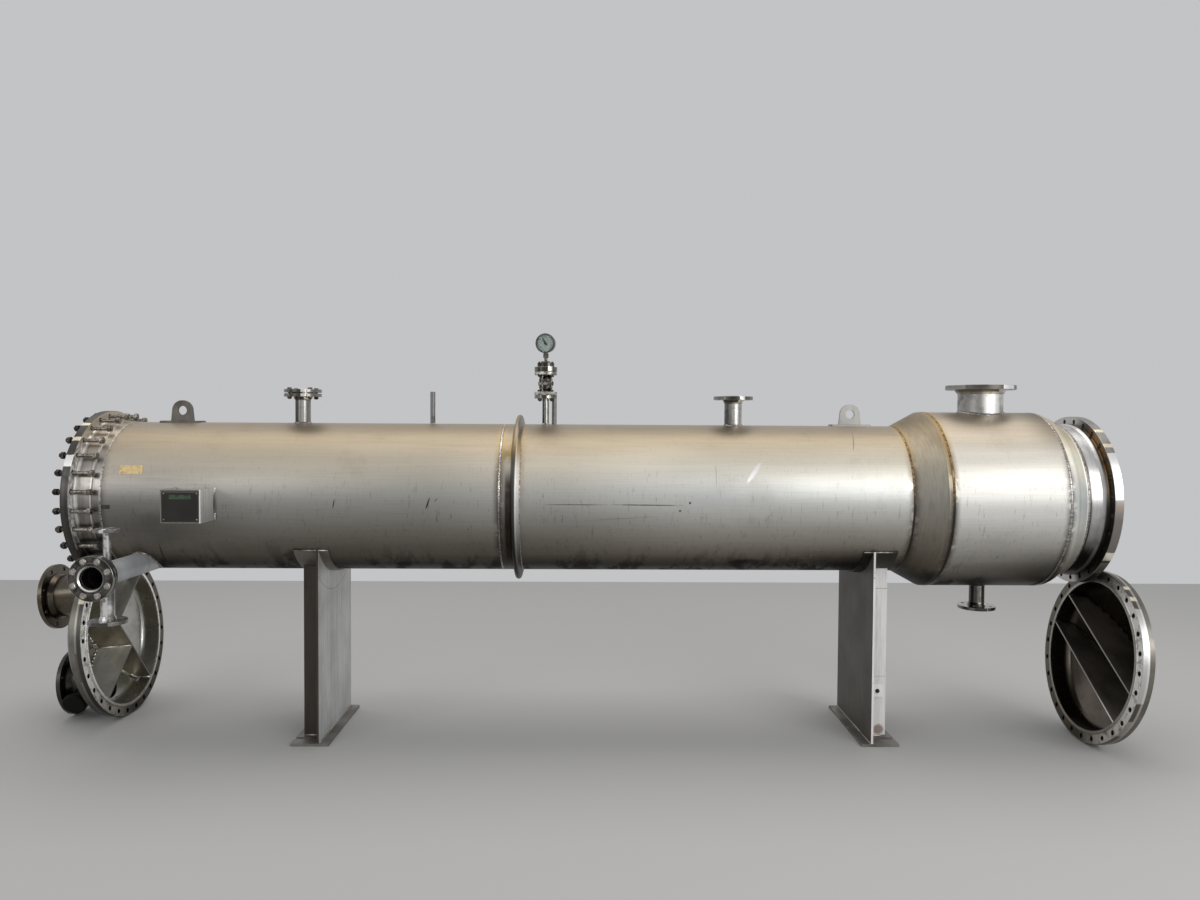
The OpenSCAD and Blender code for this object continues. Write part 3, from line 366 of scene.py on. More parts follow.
# Painted highlight along the crest, by height, made brighter there by a lower metallic
crest = distance.step(0.371, 0.376) * (0.06 + ring.x.step(0.9895, 0.9945) * 0.90)
ring.paint(crest, ring.ramp(rise, (0.0, (0.03, 0.027, 0.024)), (0.22, (0.24, 0.23, 0.22)),
                            (0.45, (0.80, 0.79, 0.77)), (0.72, (0.95, 0.94, 0.91)), (0.82, (0.60, 0.49, 0.32)),
                            (0.92, (0.30, 0.25, 0.18)), (1.0, (0.30, 0.27, 0.23))))
seam_tint(ring, rise, SEAMS[1:2])
ring.set("Metallic", 1.0 - crest * rise.between(0.16, 0.84, 0.08) * 0.55)
finish_node(ring.close(0.30 + cloud * 0.16, cloud, 0.0012, 0.4), "expansion_ring")
finish_node(ground_round("cone_sheet", (0.92, 0.88, 0.82), (0.84, 0.86, 0.88), SEAMS[3:5], 0.42, 0.30), "cone")
finish_node(ground_round("reducer_sheet", (2.6, 2.7, 2.8), (0.64, 0.65, 0.66), SEAMS[5:6], 0.50, 0.25),
            "end_reducer")


# Weld beads of the vessel's girth seams: cap passes that stand a millimetre or two proud,
# brushed, with the fine ripple that each pass leaves.
def add(data, name, finish):
    """Hangs a finished mesh on the vessel"""
    made = link(bpy.data.objects.new(name, data))
    data.materials.clear()
    data.materials.append(finish.material)
    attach(made, "root")


def piece(mesh, name, finish):
    """Turns a finished bmesh into a piece of the vessel"""
    bmesh.ops.recalc_face_normals(mesh, faces=mesh.faces)
    data = bpy.data.meshes.new(name)
    mesh.to_mesh(data)
    mesh.free()
    add(data, name, finish)


def weld_piece(mesh, name, finish):
    for face in mesh.faces:
        face.smooth = True
    piece(mesh, name, finish)


def spun(mesh, points, matrix, steps):
    """Spins a closed profile of (radius, height) about Z, then puts it at the matrix"""
    corners = [mesh.verts.new((radius, 0.0, height)) for radius, height in points]
    edges = [mesh.edges.new((corners[k], corners[(k + 1) % len(corners)])) for k in range(len(corners))]
    bmesh.ops.spin(mesh, geom=corners + edges, cent=(0, 0, 0), axis=(0, 0, 1), angle=2 * math.pi,
                   steps=steps, use_merge=True)
    new = [vert for vert in mesh.verts if not vert.tag]
    bmesh.ops.transform(mesh, matrix=matrix, verts=new)
    for vert in new:
        vert.tag = True
    return new


weld_metal = Finish("weld_metal")
ripple = weld_metal.noise(160.0, 3.0, weld_metal.stretch(0.3, 1.0, 1.0))
weld_metal.colour = weld_metal.mix(ripple.step(0.38, 0.66), (0.52, 0.50, 0.47), (0.16, 0.14, 0.12))
weld_metal.close(0.26 + ripple * 0.28, ripple, 0.0012, 0.7)

tinted_weld = Finish("tinted_weld")
ripple = tinted_weld.noise(160.0, 3.0, tinted_weld.stretch(0.3, 1.0, 1.0))
heated = tinted_weld.mix(ripple.step(0.40, 0.62), (0.44, 0.31, 0.14), (0.10, 0.055, 0.03))
# Painted shade below the vessel's axis, heat tint above it
tinted_weld.colour = tinted_weld.mix(tinted_weld.z.step(AXIS_Z - 0.05, AXIS_Z + 0.25), (0.055, 0.046, 0.040), heated)
tinted_weld.close(0.28 + ripple * 0.30, ripple, 0.0012, 0.7)

bright_weld = Finish("bright_weld", 0.26)
ripple = bright_weld.noise(210.0, 3.0)
bright_weld.colour = bright_weld.mix(ripple.step(0.36, 0.62), (0.98, 0.97, 0.94), (0.30, 0.28, 0.25))
# Painted shade on the ring's bead below the vessel's axis
low_on_shell = bright_weld.x.near(RING_SEAM, 0.02) * bright_weld.z.step(AXIS_Z + 0.10, AXIS_Z - 0.10)
bright_weld.tint(low_on_shell, (0.35, 0.34, 0.33))
bright_weld.close(None, ripple, 0.0015, 0.8)

ALONG_X = move(0, 0, AXIS_Z) @ turn(math.pi / 2, "Y")


def girth_beads(name, finish, *places):
    """Beads round the vessel at (x, radius, half width, proud)"""
    mesh = bmesh.new()
    for x, radius, half, proud in places:
        shape = ((-0.003, -1), (0, -1), (proud * 0.8, -0.5), (proud, 0), (proud * 0.8, 0.5), (0, 1), (-0.003, 1))
        spun(mesh, [(radius + out, x + side * half) for out, side in shape], ALONG_X, 144)
    weld_piece(mesh, name, finish)


NECK_SEAM, NECK_R = 3.712, 0.390
girth_beads("ring_girth_bead", bright_weld, (RING_SEAM, SHELL_R, 0.005, 0.0016))
girth_beads("shell_girth_beads", tinted_weld, (CONE_SEAM, SHELL_R, 0.005, 0.0014),
            (ENLARGED_SEAM, ENLARGED_R, 0.0055, 0.0016))
girth_beads("end_girth_beads", weld_metal, (LEFT_SEAM, SHELL_R, 0.004, 0.0012), (COURSE_SEAM, SHELL_R, 0.005, 0.0014),
            (REDUCER_SEAM, ENLARGED_R, 0.006, 0.0012), (NECK_SEAM, NECK_R, 0.005, 0.0018))


# Necks and tubesheets: forgings turned on a lathe, left bright, with the fine rings of the tool
# and with high contrast between light and dark, much of it painted shade, highlights and reflections.
def turned(name, base, dark_share, roughness, low_tint):
    """Lathe-turned steel, with painted shade darker towards the bottom of the vessel"""
    finish = Finish(name)
    rings = finish.noise(700.0, 2.0, finish.stretch(1.0, 0.02, 0.02))
    bands = finish.noise(34.0, 2.0, finish.stretch(1.0, 0.25, 0.05))
    cloud = finish.noise(11.0, 5.0, None, 0.65)
    dark = tuple(part * 0.32 for part in base)
    finish.colour = finish.mix(bands.step(0.38, 0.62) * dark_share, base, dark)
    finish.paint(cloud.step(0.50, 0.75) * 0.5, dark)
    finish.tint(finish.z.step(AXIS_Z + 0.12, AXIS_Z - 0.34), low_tint)
    return finish.close(roughness + cloud * 0.20, rings, 0.0004, 0.3)


RIM_R = 0.4238
# Tones of the painted reflections on turned rims
CREAM, WHITE_STEEL = (0.90, 0.82, 0.62), (1.0, 0.99, 0.97)


def glints(finish, angle, rim, waver, soft, patches):
    """Sharp-edged patches of painted reflection, bright and dark, on a turned rim: degrees, half width, colour,
    strength
    """
    for place, half, tone, strength in patches:
        patch = abs(angle - place + (finish.ragged - 0.5) * waver).step(half + soft, half - soft)
        finish.paint(patch * rim * strength, tone)


neck = turned("left_neck_steel", (0.42, 0.40, 0.37), 0.45, 0.26, (0.16, 0.15, 0.14))
# Painted highlight streaks on the upper part and a painted tan reflection on top, made brighter by a lower metallic
streaks = neck.x.near(-1.058, 0.013).most(neck.x.near(-0.992, 0.006) * 0.6)
streaks = streaks * neck.z.step(AXIS_Z - 0.22, AXIS_Z - 0.05)
upper_tan = neck.z.step(AXIS_Z + 0.14, AXIS_Z + 0.30)
neck.paint(upper_tan * 0.7, (0.56, 0.47, 0.36))
neck.paint(streaks * 0.9, (1.0, 0.98, 0.95))
neck.set("Metallic", 1.0 - (streaks * 0.5).most(upper_tan * 0.3))
finish_node(neck.close(), "left_neck")

neck = turned("right_neck_steel", (0.78, 0.77, 0.76), 0.35, 0.20, (0.10, 0.09, 0.08))
# Painted shade in the groove at the neck's end
neck.paint(neck.x.step(3.788, 3.796) * 0.85, (0.05, 0.045, 0.04))
gold = neck.x.near(3.806, 0.006) * neck.z.between(AXIS_Z + 0.02, AXIS_Z + 0.36, 0.05)
neck.paint(gold * 0.9, (0.75, 0.52, 0.22))
finish_node(neck.close(), "right_neck")

sheet = turned("left_sheet_steel", (0.12, 0.115, 0.107), 0.40, 0.33, (0.55, 0.52, 0.50))
distance, angle = sheet.around()
# Painted reflections on the rim
glints(sheet, angle, distance.step(RIM_R - 0.0006, RIM_R), 1.5, 0.35,
       ((57.5, 1.4, CREAM, 0.9), (43, 1.5, CREAM, 0.95), (26.5, 4.0, WHITE_STEEL, 0.95)))
# Painted light on the back face: bright and speckled, with a painted tan reflection on its upper part
left_back_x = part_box("left_tubesheet")[1][0]
back = sheet.x.step(left_back_x - 0.0010, left_back_x - 0.0004) * distance.step(RIM_R, RIM_R - 0.0015)
back = back * angle.step(-44, -22)
worn_back = sheet.mix(sheet.ragged.step(0.36, 0.62), (0.95, 0.94, 0.92), (0.30, 0.28, 0.26))
sheet.paint(back, sheet.mix(angle.step(34, 52), worn_back, (0.50, 0.43, 0.34)))
sheet.set("Metallic", 1.0 - back * 0.6)
finish_node(sheet.close(), "left_tubesheet")

sheet = turned("right_sheet_steel", (0.40, 0.385, 0.36), 0.30, 0.26, (0.45, 0.41, 0.39))
distance, angle = sheet.around()
# Painted shade and reflection on the back face: dark, warm on its upper part, pale at the top and bottom
back = sheet.x.step(3.817, 3.8155) * distance.step(RIM_R + 0.0004, RIM_R - 0.002)
warm_back = sheet.mix(angle.between(20, 62, 8), (0.055, 0.050, 0.045), (0.20, 0.135, 0.075))
warm_back = sheet.mix(angle.step(66, 84).most(angle.step(-72, -80)), warm_back, (0.62, 0.61, 0.58))
sheet.paint(back * 0.92, warm_back)
# Painted reflections on the rim, bright and dark
glints(sheet, angle, distance.step(RIM_R - 0.0006, RIM_R), 1.5, 0.35,
       ((20, 16.0, WHITE_STEEL, 0.85), (42, 1.5, CREAM, 1.0), (56.5, 1.6, CREAM, 1.0),
        (-1, 3.0, (0.42, 0.34, 0.30), 0.9), (-20, 12.0, (0.26, 0.235, 0.215), 0.8),
        (-36, 3.6, (0.98, 0.96, 0.88), 1.0), (-48, 6.0, (0.50, 0.47, 0.43), 0.9)))
finish_node(sheet.close(), "right_tubesheet")


# Tubes and studs: drawn tubes expanded into the sheets and welded at their ends, and dull
# bolting steel. The studs hang loose in the left sheet with slack nuts on them.
def clouded(name, light, dark, scale, roughness, metallic=0.0, **constants):
    """Two tones of one colour, in a cloud"""
    finish = Finish(name, roughness, metallic, **constants)
    finish.cloud = finish.noise(scale)
    finish.colour = finish.mix(finish.cloud, light, dark)
    return finish.close()


tube_steel = clouded("tube_steel", (0.34, 0.32, 0.30), (0.52, 0.50, 0.48), 60.0, 0.42, 1.0)
finish_node(tube_steel.close(None, tube_steel.cloud, 0.0003, 0.3), "tubes")


def bolting(name, light, dark, roughness):
    finish = Finish(name)
    finish.oxide = finish.noise(120.0, 4.0)
    finish.colour = finish.mix(finish.oxide.step(0.35, 0.65), light, dark)
    return finish.close(roughness + finish.oxide * 0.3, finish.oxide, 0.0004, 0.4)


bolt_steel = bolting("bolt_steel", (0.13, 0.118, 0.105), (0.035, 0.030, 0.026), 0.28)
bright_bolt = bolting("bright_bolt", (0.72, 0.70, 0.66), (0.30, 0.28, 0.25), 0.16)
stud = bolting("stud_steel", (0.10, 0.09, 0.08), (0.030, 0.026, 0.022), 0.28)
stud.paint(stud.x.step(left_back_x, left_back_x + 0.002),
           stud.mix(stud.oxide.step(0.35, 0.65), (0.42, 0.38, 0.33), (0.10, 0.09, 0.078)))
finish_node(stud.close(), "girth_studs")


# Nozzles: drawn pipe with welding-neck flanges, polished; the dark and light that lie side by side
# along them are painted shade and painted highlights. Each is set through the shell and welded from outside.
def polished(name, base, middle_x=None, roughness=0.14, gilt=0.0, radius=0.04, rims=(), tones=(0.20, 0.62, 1.15)):
    """Polished steel; an upright pipe at middle_x gets painted shade on its left and a painted highlight streak, and
    its flange one painted highlight patch
    """
    finish = Finish(name)
    cloud = finish.noise(18.0, 4.0, None, 0.6)
    finish.colour = finish.mix(cloud.step(0.48, 0.70) * 0.6, base, tuple(part * 0.30 for part in base))
    if middle_x is not None:
        # Painted shade and highlights across the pipe, and painted light and shade on the flange by facing
        across = (finish.x - middle_x) / radius
        from_axis = (across * across + (finish.y / radius) ** 2) ** 0.5
        left, middle, streak = ((tone, tone, tone * 0.98) for tone in tones)
        on_pipe = finish.mix(across.step(-0.45, -0.20), left, middle)
        on_pipe = finish.mix(across.between(0.06, 0.50, 0.06), on_pipe, streak)
        on_flange = finish.mix(across.between(0.42, 1.05, 0.06), (0.20, 0.19, 0.175), (2.0, 2.0, 1.98))
        on_flange = finish.mix(abs(across).step(1.10, 1.20), on_flange, (0.55, 0.54, 0.52))
        on_flange = finish.mix(abs(finish.facing[2]).step(0.5, 0.8), on_flange, (0.90, 0.89, 0.87))
        shade = finish.mix(from_axis.step(1.04, 1.10), on_pipe, on_flange)
        finish.colour = finish.mix(1.0, finish.colour, shade, "MULTIPLY")
    for low, high in rims:
        finish.paint(finish.z.between(low, high, 0.0008) * 0.85, (0.05, 0.045, 0.04))
    if gilt:
        finish.paint(cloud.step(0.35, 0.60) * gilt, (0.52, 0.38, 0.20))
    fine = finish.noise(300.0, 2.0, finish.stretch(1.0, 1.0, 0.12))
    return finish.close(roughness + cloud * 0.16, fine, 0.0003, 0.25)


NOZZLE_A_X, NOZZLE_B_X, NOZZLE_C_X, GAUGE_X, VENT_X = -0.116, 2.078, 3.352, 1.118, 0.543
LEVEL_X, LEVEL_Y = GAUGE_X + 0.041, 0.072
PIPE_TONE = (0.50, 0.49, 0.47)
finish_node(polished("nozzle_a_polish", PIPE_TONE, NOZZLE_A_X, radius=0.038), "nozzle_a", "blind_flange_a")
finish_node(polished("plain_tube_steel", (0.27, 0.265, 0.26), None, 0.42), "vent_tube", "level_tube")
finish_node(polished("nozzle_b_polish", PIPE_TONE, NOZZLE_B_X, 0.20, radius=0.0445, tones=(0.35, 1.25, 1.30)),
            "nozzle_b")
finish_node(polished("nozzle_c_polish", (0.66, 0.65, 0.63), NOZZLE_C_X, 0.32, radius=0.1095, tones=(0.62, 1.15, 2.0)),
            "nozzle_c")
finish_node(polished("drain_polish", PIPE_TONE, NOZZLE_C_X, radius=0.038), "drain_nozzle")
finish_node(polished("riser_polish", (0.50, 0.49, 0.46), GAUGE_X, radius=0.0169), "gauge_riser")
finish_node(polished("seal_polish", (0.38, 0.36, 0.33), GAUGE_X, 0.20, radius=0.034, rims=((1.853, 1.874),)),
            "diaphragm_seal")
finish_node(polished("outlet_polish", (0.110, 0.099, 0.082), None, 0.16, 0.08), "left_outlet_nozzle")
finish_node(polished("inlet_polish", (0.080, 0.075, 0.067), None, 0.22), "left_inlet_nozzle", "left_channel_drain")
finish_node(clouded("gasket_fibre", (0.02, 0.02, 0.02), (0.06, 0.055, 0.05), 500.0, 0.8), "gaskets")


def saddle_bead(mesh, x, y, pipe_r, shell_r, half, below=False):
    """Fillet where an upright pipe meets the shell, its ring bent onto the shell's curve"""
    profile = [(pipe_r - 0.002, -0.004), (pipe_r + half, -0.004), (pipe_r + half, 0.001),
               (pipe_r + half * 0.55, half * 0.55), (pipe_r, half * 1.1), (pipe_r - 0.002, half)]
    for vert in spun(mesh, profile, move(x, y, 0), 48):
        lift = math.sqrt(shell_r ** 2 - vert.co.y ** 2)
        vert.co.z = AXIS_Z - lift - vert.co.z if below else AXIS_Z + lift + vert.co.z


DN25_R, DN50_R, DN65_R, DN80_R, DN200_R, VENT_R = 0.01685, 0.03015, 0.03805, 0.04445, 0.10955, 0.0125
welds = bmesh.new()
saddle_bead(welds, NOZZLE_A_X, 0, DN65_R, SHELL_R, 0.006)
saddle_bead(welds, NOZZLE_B_X, 0, DN80_R, SHELL_R, 0.006)
saddle_bead(welds, NOZZLE_C_X, 0, DN200_R, ENLARGED_R, 0.008)
saddle_bead(welds, VENT_X, 0, VENT_R, SHELL_R, 0.004)
saddle_bead(welds, GAUGE_X, 0, DN25_R, SHELL_R, 0.005)
saddle_bead(welds, LEVEL_X, LEVEL_Y, VENT_R, SHELL_R, 0.004)
saddle_bead(welds, NOZZLE_C_X, 0, DN65_R, ENLARGED_R, 0.006, True)
weld_piece(welds, "nozzle_welds", weld_metal)


def chamfered(mesh, matrix, sides, radius, length, chamfer):
    """Upright prism with chamfered ends, from the matrix up Z"""
    made = bmesh.ops.create_cone(mesh, cap_ends=True, segments=sides, radius1=radius, radius2=radius,
                                 depth=length, matrix=matrix @ move(0, 0, length / 2))
    edges = dict.fromkeys(edge for vert in made["verts"] for edge in vert.link_edges)
    rims = [edge for edge in edges if {len(face.verts) for face in edge.link_faces} == {4, sides}]
    bmesh.ops.bevel(mesh, geom=rims, offset=chamfer, offset_type="OFFSET", segments=1, profile=0.5,
                    affect="EDGES", material=-1)


def hex_nut(mesh, matrix, across, thick):
    chamfered(mesh, matrix, 6, across / math.sqrt(3), thick, across * 0.07)


def turned_rod(mesh, matrix, radius, length, sides=16):
    chamfered(mesh, matrix, sides, radius, length, radius * 0.2)


UPSIDE_DOWN, TO_FRONT = turn(math.pi, "X"), turn(math.pi / 2, "X")


def bolt_set(mesh, matrix, count, circle, grip, size=0.016, stick=0.008, head=None):
    """Hexagon bolts on a circle through a grip that starts at z = 0 of the matrix and goes down"""
    for k in range(count):
        at = matrix @ turn((k + 0.5) * 2 * math.pi / count, "Z") @ move(circle / 2, 0, 0)
        face_turn = turn(0.35 + k * 1.7, "Z")
        turned_rod(mesh, at @ move(0, 0, -0.0005), size * 0.95, 0.0028, 20)
        hex_nut(mesh, at @ face_turn @ move(0, 0, 0.0022), size * 1.5, head or size * 0.62)
        under = at @ UPSIDE_DOWN
        turned_rod(mesh, under @ move(0, 0, -0.001), size / 2, grip + size * 0.8 + stick)
        hex_nut(mesh, under @ face_turn @ move(0, 0, grip + 0.0003), size * 1.5, size * 0.8)


BLIND_TOP, BLIND_GRIP = 1.728, 0.036
blind_bolts = bmesh.new()
bolt_set(blind_bolts, move(NOZZLE_A_X, 0, BLIND_TOP), 4, 0.145, BLIND_GRIP, 0.014, 0.004, 0.006)
piece(blind_bolts, "blind_flange_bolts", bolt_steel)


# Front nozzle: a matt drawn pipe low on the near side, cut to the shell and welded. Its flange
# carries a loose ring with eight bolts, and a stub stands up and another hangs down behind it.
FRONT_X, FRONT_Z, FRONT_PIPE_R = -0.824, AXIS_Z - 0.312, 0.052
FRONT_FACE_Y, STUB_Y, BOLT_CIRCLE = -0.688, -0.548, 0.160
pipe = Finish("front_pipe_steel", 0.55, 0.6)
cloud = pipe.noise(9.0, 4.0, None, 0.6)
pipe.colour = pipe.mix(cloud.step(0.35, 0.65), (0.78, 0.80, 0.82), (0.62, 0.64, 0.66))
# Painted shade on the lower half of the pipe
pipe.tint(pipe.z.step(FRONT_Z + 0.045, FRONT_Z - 0.048) * 0.6, (0.50, 0.50, 0.50))
on_flange = pipe.y.step(-0.618, -0.6225)
# The stubs: painted shade on their sides and a painted highlight down the middle, with some random dark patches
stubs = abs(pipe.z - FRONT_Z).step(0.0545, 0.0575) * (1.0 - on_flange)
off_side = abs(pipe.x - FRONT_X - 0.003).step(0.006, 0.013).most(pipe.ragged.step(0.50, 0.62))
pipe.paint(stubs, pipe.mix(off_side * cloud.step(0.25, 0.50) * 0.85, (0.90, 0.89, 0.87), (0.13, 0.125, 0.115)))
pipe.paint(on_flange, pipe.mix(cloud.step(0.40, 0.66), (0.085, 0.078, 0.072), (0.17, 0.16, 0.15)))
scratched = pipe.x.near(-0.842, 0.016) * pipe.y.near(-0.560, 0.020) * pipe.ragged.step(0.4, 0.6)
pipe.paint(scratched * 0.8, (0.03, 0.028, 0.026))
# Painted shade inside the bore
bore = ((pipe.x - FRONT_X) ** 2 + (pipe.z - FRONT_Z) ** 2).step(0.0497 ** 2, 0.0488 ** 2)
pipe.paint(bore, (0.012, 0.010, 0.009))
pipe.close(0.52 - stubs.most(on_flange) * 0.32, pipe.noise(260.0, 3.0), 0.0003, 0.3)
finish_node(pipe, "front_nozzle")

loose = Finish("loose_ring")
cloud = loose.noise(26.0, 4.0, None, 0.6)
from_middle = ((loose.x - FRONT_X) ** 2 + (loose.z - FRONT_Z) ** 2) ** 0.5
loose.colour = loose.mix(cloud.step(0.38, 0.62), (0.060, 0.054, 0.048), (0.15, 0.14, 0.13))
# Painted highlights on two edges of the ring and on the bevel round its bore, strongest low on the left
edge = from_middle.between(0.0685, 0.0705, 0.0006).most(from_middle.between(0.0980, 0.1010, 0.0005))
loose.paint(edge * 0.55, (0.50, 0.49, 0.47))
low_left = (FRONT_X + 0.075 - loose.x + (FRONT_Z + 0.035 - loose.z)).step(0.02, 0.16)
loose.paint(from_middle.step(0.0585, 0.0560) * (0.25 + low_left * 0.75), (0.95, 0.94, 0.90))
finish_node(loose.close(0.15 + cloud * 0.2, loose.noise(400.0), 0.0002, 0.2), "front_counter_flange")

front_bolts = bmesh.new()
bolt_set(front_bolts, move(FRONT_X, FRONT_FACE_Y, FRONT_Z) @ TO_FRONT, 8, BOLT_CIRCLE, 0.040, stick=0.014, head=0.0065)
piece(front_bolts, "front_flange_bolts", bright_bolt)

welds = bmesh.new()
fillet = [(FRONT_PIPE_R + out, height) for out, height in
          ((-0.002, -0.006), (0.007, -0.006), (0.007, 0.001), (0.004, 0.005), (0, 0.008), (-0.002, 0.006))]
for vert in spun(welds, fillet, move(FRONT_X, 0, FRONT_Z) @ TO_FRONT, 96):
    drop = min(abs(vert.co.z - AXIS_Z), SHELL_R - 0.0004)
    vert.co.y -= math.sqrt(SHELL_R ** 2 - drop ** 2)
for pipe_r, up in ((DN25_R, 1), (DN50_R, -1)):
    fillet = [(pipe_r + out, height) for out, height in ((-0.002, -0.004), (0.005, -0.004), (0.005, 0.001), (0, 0.006))]
    for vert in spun(welds, fillet, move(FRONT_X, STUB_Y, 0), 40):
        lift = math.sqrt(FRONT_PIPE_R ** 2 - (vert.co.x - FRONT_X) ** 2)
        vert.co.z = FRONT_Z + up * (lift + vert.co.z)
weld_piece(welds, "front_nozzle_welds", weld_metal)


# Isolation valve: a small flanged ball valve in three cast parts, held together by four long
# screws. A seal body with a screwed lid sits on it and carries the gauge.
VALVE_BOTTOM, VALVE_TOP, LID_TOP = 1.707, 1.825, 1.871
MID_VALVE = (VALVE_BOTTOM + VALVE_TOP) / 2
valve = Finish("valve_cast")
grain = valve.noise(420.0, 3.0)
cloud = valve.noise(45.0, 3.0, None, 0.6)
valve.colour = valve.mix(cloud.step(0.40, 0.62), (0.11, 0.10, 0.088), (0.030, 0.026, 0.022))
valve.paint(abs(valve.z - MID_VALVE).step(0.0425, 0.0435),
            valve.mix(cloud.step(0.35, 0.60), (0.74, 0.72, 0.67), (0.22, 0.205, 0.185)))
finish_node(valve.close(0.26 + grain * 0.3, grain, 0.0006, 0.4), "isolation_valve")

ON_VALVE = move(GAUGE_X, 0, 0)
valve_trim = bmesh.new()
for rise, across, thick in ((-0.031, 0.060, 0.014), (0.017, 0.060, 0.014), (-0.012, 0.072, 0.024)):
    hex_nut(valve_trim, move(GAUGE_X, 0, MID_VALVE + rise) @ turn(0.26, "Z"), across, thick)
for k in range(4):
    at = ON_VALVE @ turn(math.pi / 4 + k * math.pi / 2 + 0.25, "Z")
    turned_rod(valve_trim, at @ move(0.0335, 0, MID_VALVE - 0.040), 0.0045, 0.080, 12)
    for rise in (-0.040, 0.032):
        hex_nut(valve_trim, at @ move(0.0335, 0, MID_VALVE + rise), 0.0135, 0.007)
trim_steel = bolting("valve_trim_steel", (0.30, 0.28, 0.25), (0.07, 0.062, 0.052), 0.2)
piece(valve_trim, "valve_body_parts", trim_steel)

valve_bolts = bmesh.new()
bolt_set(valve_bolts, move(GAUGE_X, 0, VALVE_BOTTOM + 0.016), 4, 0.085, 0.034, 0.012, 0.005)
for k in range(4):
    at = move(GAUGE_X, 0, VALVE_TOP - 0.016) @ UPSIDE_DOWN @ turn((k + 0.5) * math.pi / 2, "Z") @ move(0.0425, 0, 0)
    hex_nut(valve_bolts, at @ turn(0.4 + k, "Z"), 0.018, 0.0085)
for k in range(6):
    at = move(GAUGE_X, 0, LID_TOP) @ turn(k * math.pi / 3, "Z") @ move(0.033, 0, 0)
    turned_rod(valve_bolts, at @ move(0, 0, -0.001), 0.0055, 0.007)
piece(valve_bolts, "valve_bolts", bolt_steel)


# Gauge: round polished case on a short stem, pale printed dial behind glass, black needle on
# a hub, and a filling plug on top. Its face turns a little to the left of the vessel's front.
finish_node(bolting("stem_steel", (0.22, 0.20, 0.18), (0.07, 0.06, 0.05), 0.25), "gauge_stem")
finish_node(polished("case_polish", (0.12, 0.12, 0.123), None, 0.16), "gauge_case")
finish_node(clouded("dial_print", (0.66, 0.77, 0.73), (0.72, 0.82, 0.77), 30.0, 0.55), "gauge_dial")
clear_glass = Finish("clear_glass", 0.03, 0.0, Transmission_Weight=1.0, IOR=1.45)
clear_glass.colour = (0.97, 0.99, 0.98)
finish_node(clear_glass.close(), "gauge_glass")

black_paint = clouded("black_paint", (0.010, 0.010, 0.011), (0.022, 0.022, 0.023), 90.0, 0.45)
grey_print = clouded("grey_print", (0.34, 0.38, 0.365), (0.44, 0.49, 0.47), 90.0, 0.5)
ON_DIAL = move(GAUGE_X, 0, 1.970) @ turn(math.radians(-12), "Z") @ TO_FRONT @ move(0, 0, 0.0061)
NEEDLE_TURN, SCALE_START, SCALE_STEP = math.radians(28), math.radians(135), math.radians(27)
needle = bmesh.new()
for tail, tip, length, middle, side in ((0.0050, 0.0014, 0.032, 0.016, -1), (0.0018, 0.0026, 0.012, -0.006, 1)):
    bmesh.ops.create_cone(needle, cap_ends=True, segments=4, radius1=tail, radius2=tip, depth=length,
                          matrix=move(0, middle, 0.0048) @ turn(side * math.pi / 2, "X"))
turned_rod(needle, move(0, 0, 0.0040), 0.0068, 0.0022, 24)
bmesh.ops.transform(needle, matrix=ON_DIAL @ turn(NEEDLE_TURN, "Z"), verts=needle.verts)
piece(needle, "gauge_needle", black_paint)

dial_marks = bmesh.new()
for k in range(51):
    width, reach = (0.0007, 0.0040) if k % 5 == 0 else (0.0003, 0.0018)
    at = turn(SCALE_START - k * SCALE_STEP / 5, "Z") @ move(0, 0.0395 - reach / 2, 0.0001)
    bmesh.ops.create_cube(dial_marks, size=1.0, matrix=ON_DIAL @ at @ Matrix.Diagonal((width, reach, 0.0003, 1.0)))
piece(dial_marks, "dial_marks", grey_print)

for k in range(0, 11, 2):
    figure = bpy.data.curves.new("dial_figure", "FONT")
    figure.body, figure.size, figure.extrude = str(k), 0.0068, 0.0001
    figure.align_x, figure.align_y = "CENTER", "CENTER"
    written = link(bpy.data.objects.new("dial_figure", figure))
    bpy.context.view_layer.update()
    shape = bpy.data.meshes.new_from_object(written.evaluated_get(bpy.context.evaluated_depsgraph_get()))
    bpy.data.objects.remove(written)
    angle = SCALE_START - k * SCALE_STEP
    shape.transform(ON_DIAL @ move(-math.sin(angle) * 0.0285, math.cos(angle) * 0.0285, 0.0002))
    add(shape, "dial_figure_%d" % k, grey_print)

gauge_plug = bmesh.new()
turned_rod(gauge_plug, move(GAUGE_X - 0.001, 0.004, 2.0145), 0.0055, 0.0055, 20)
piece(gauge_plug, "gauge_plug", black_paint)


# Lugs, bracket and wear plates: cut and folded stainless plate, pickled, its edges ground. The
# bracket carries a black lacquered plate on four small screws and is welded on by its corners.
def plate(name, light, dark, roughness, faces=(), rust=0.7):
    """Pickled plate; faces paints a darker or lighter tone, as painted shade and painted light, on the sides that look
    along an axis
    """
    finish = Finish(name)
    cloud = finish.noise(5.0, 4.0, None, 0.55)
    finish.mill = finish.noise(90.0, 3.0, finish.stretch(1.0, 1.0, 0.06))
    finish.colour = finish.mix(cloud.step(0.36, 0.70), light, dark)
    for axis, sign, tone in faces:
        facing = finish.facing["xyz".index(axis)]
        finish.paint((facing * sign).step(0.5, 0.8), finish.mix(finish.mill, tone, tuple(part * 0.72 for part in tone)))
    finish.tint(finish.mill.step(0.45, 0.70) * 0.30, (0.70, 0.69, 0.68))
    if rust:
        spots = finish.noise(38.0, 6.0, finish.stretch(1.0, 1.0, 0.8), 0.7)
        finish.paint(spots.step(0.70, 0.76) * rust, (0.20, 0.09, 0.035))
    return finish.close(roughness + cloud * 0.2, cloud * 0.3 + finish.mill * 0.7, 0.0005, 0.35)


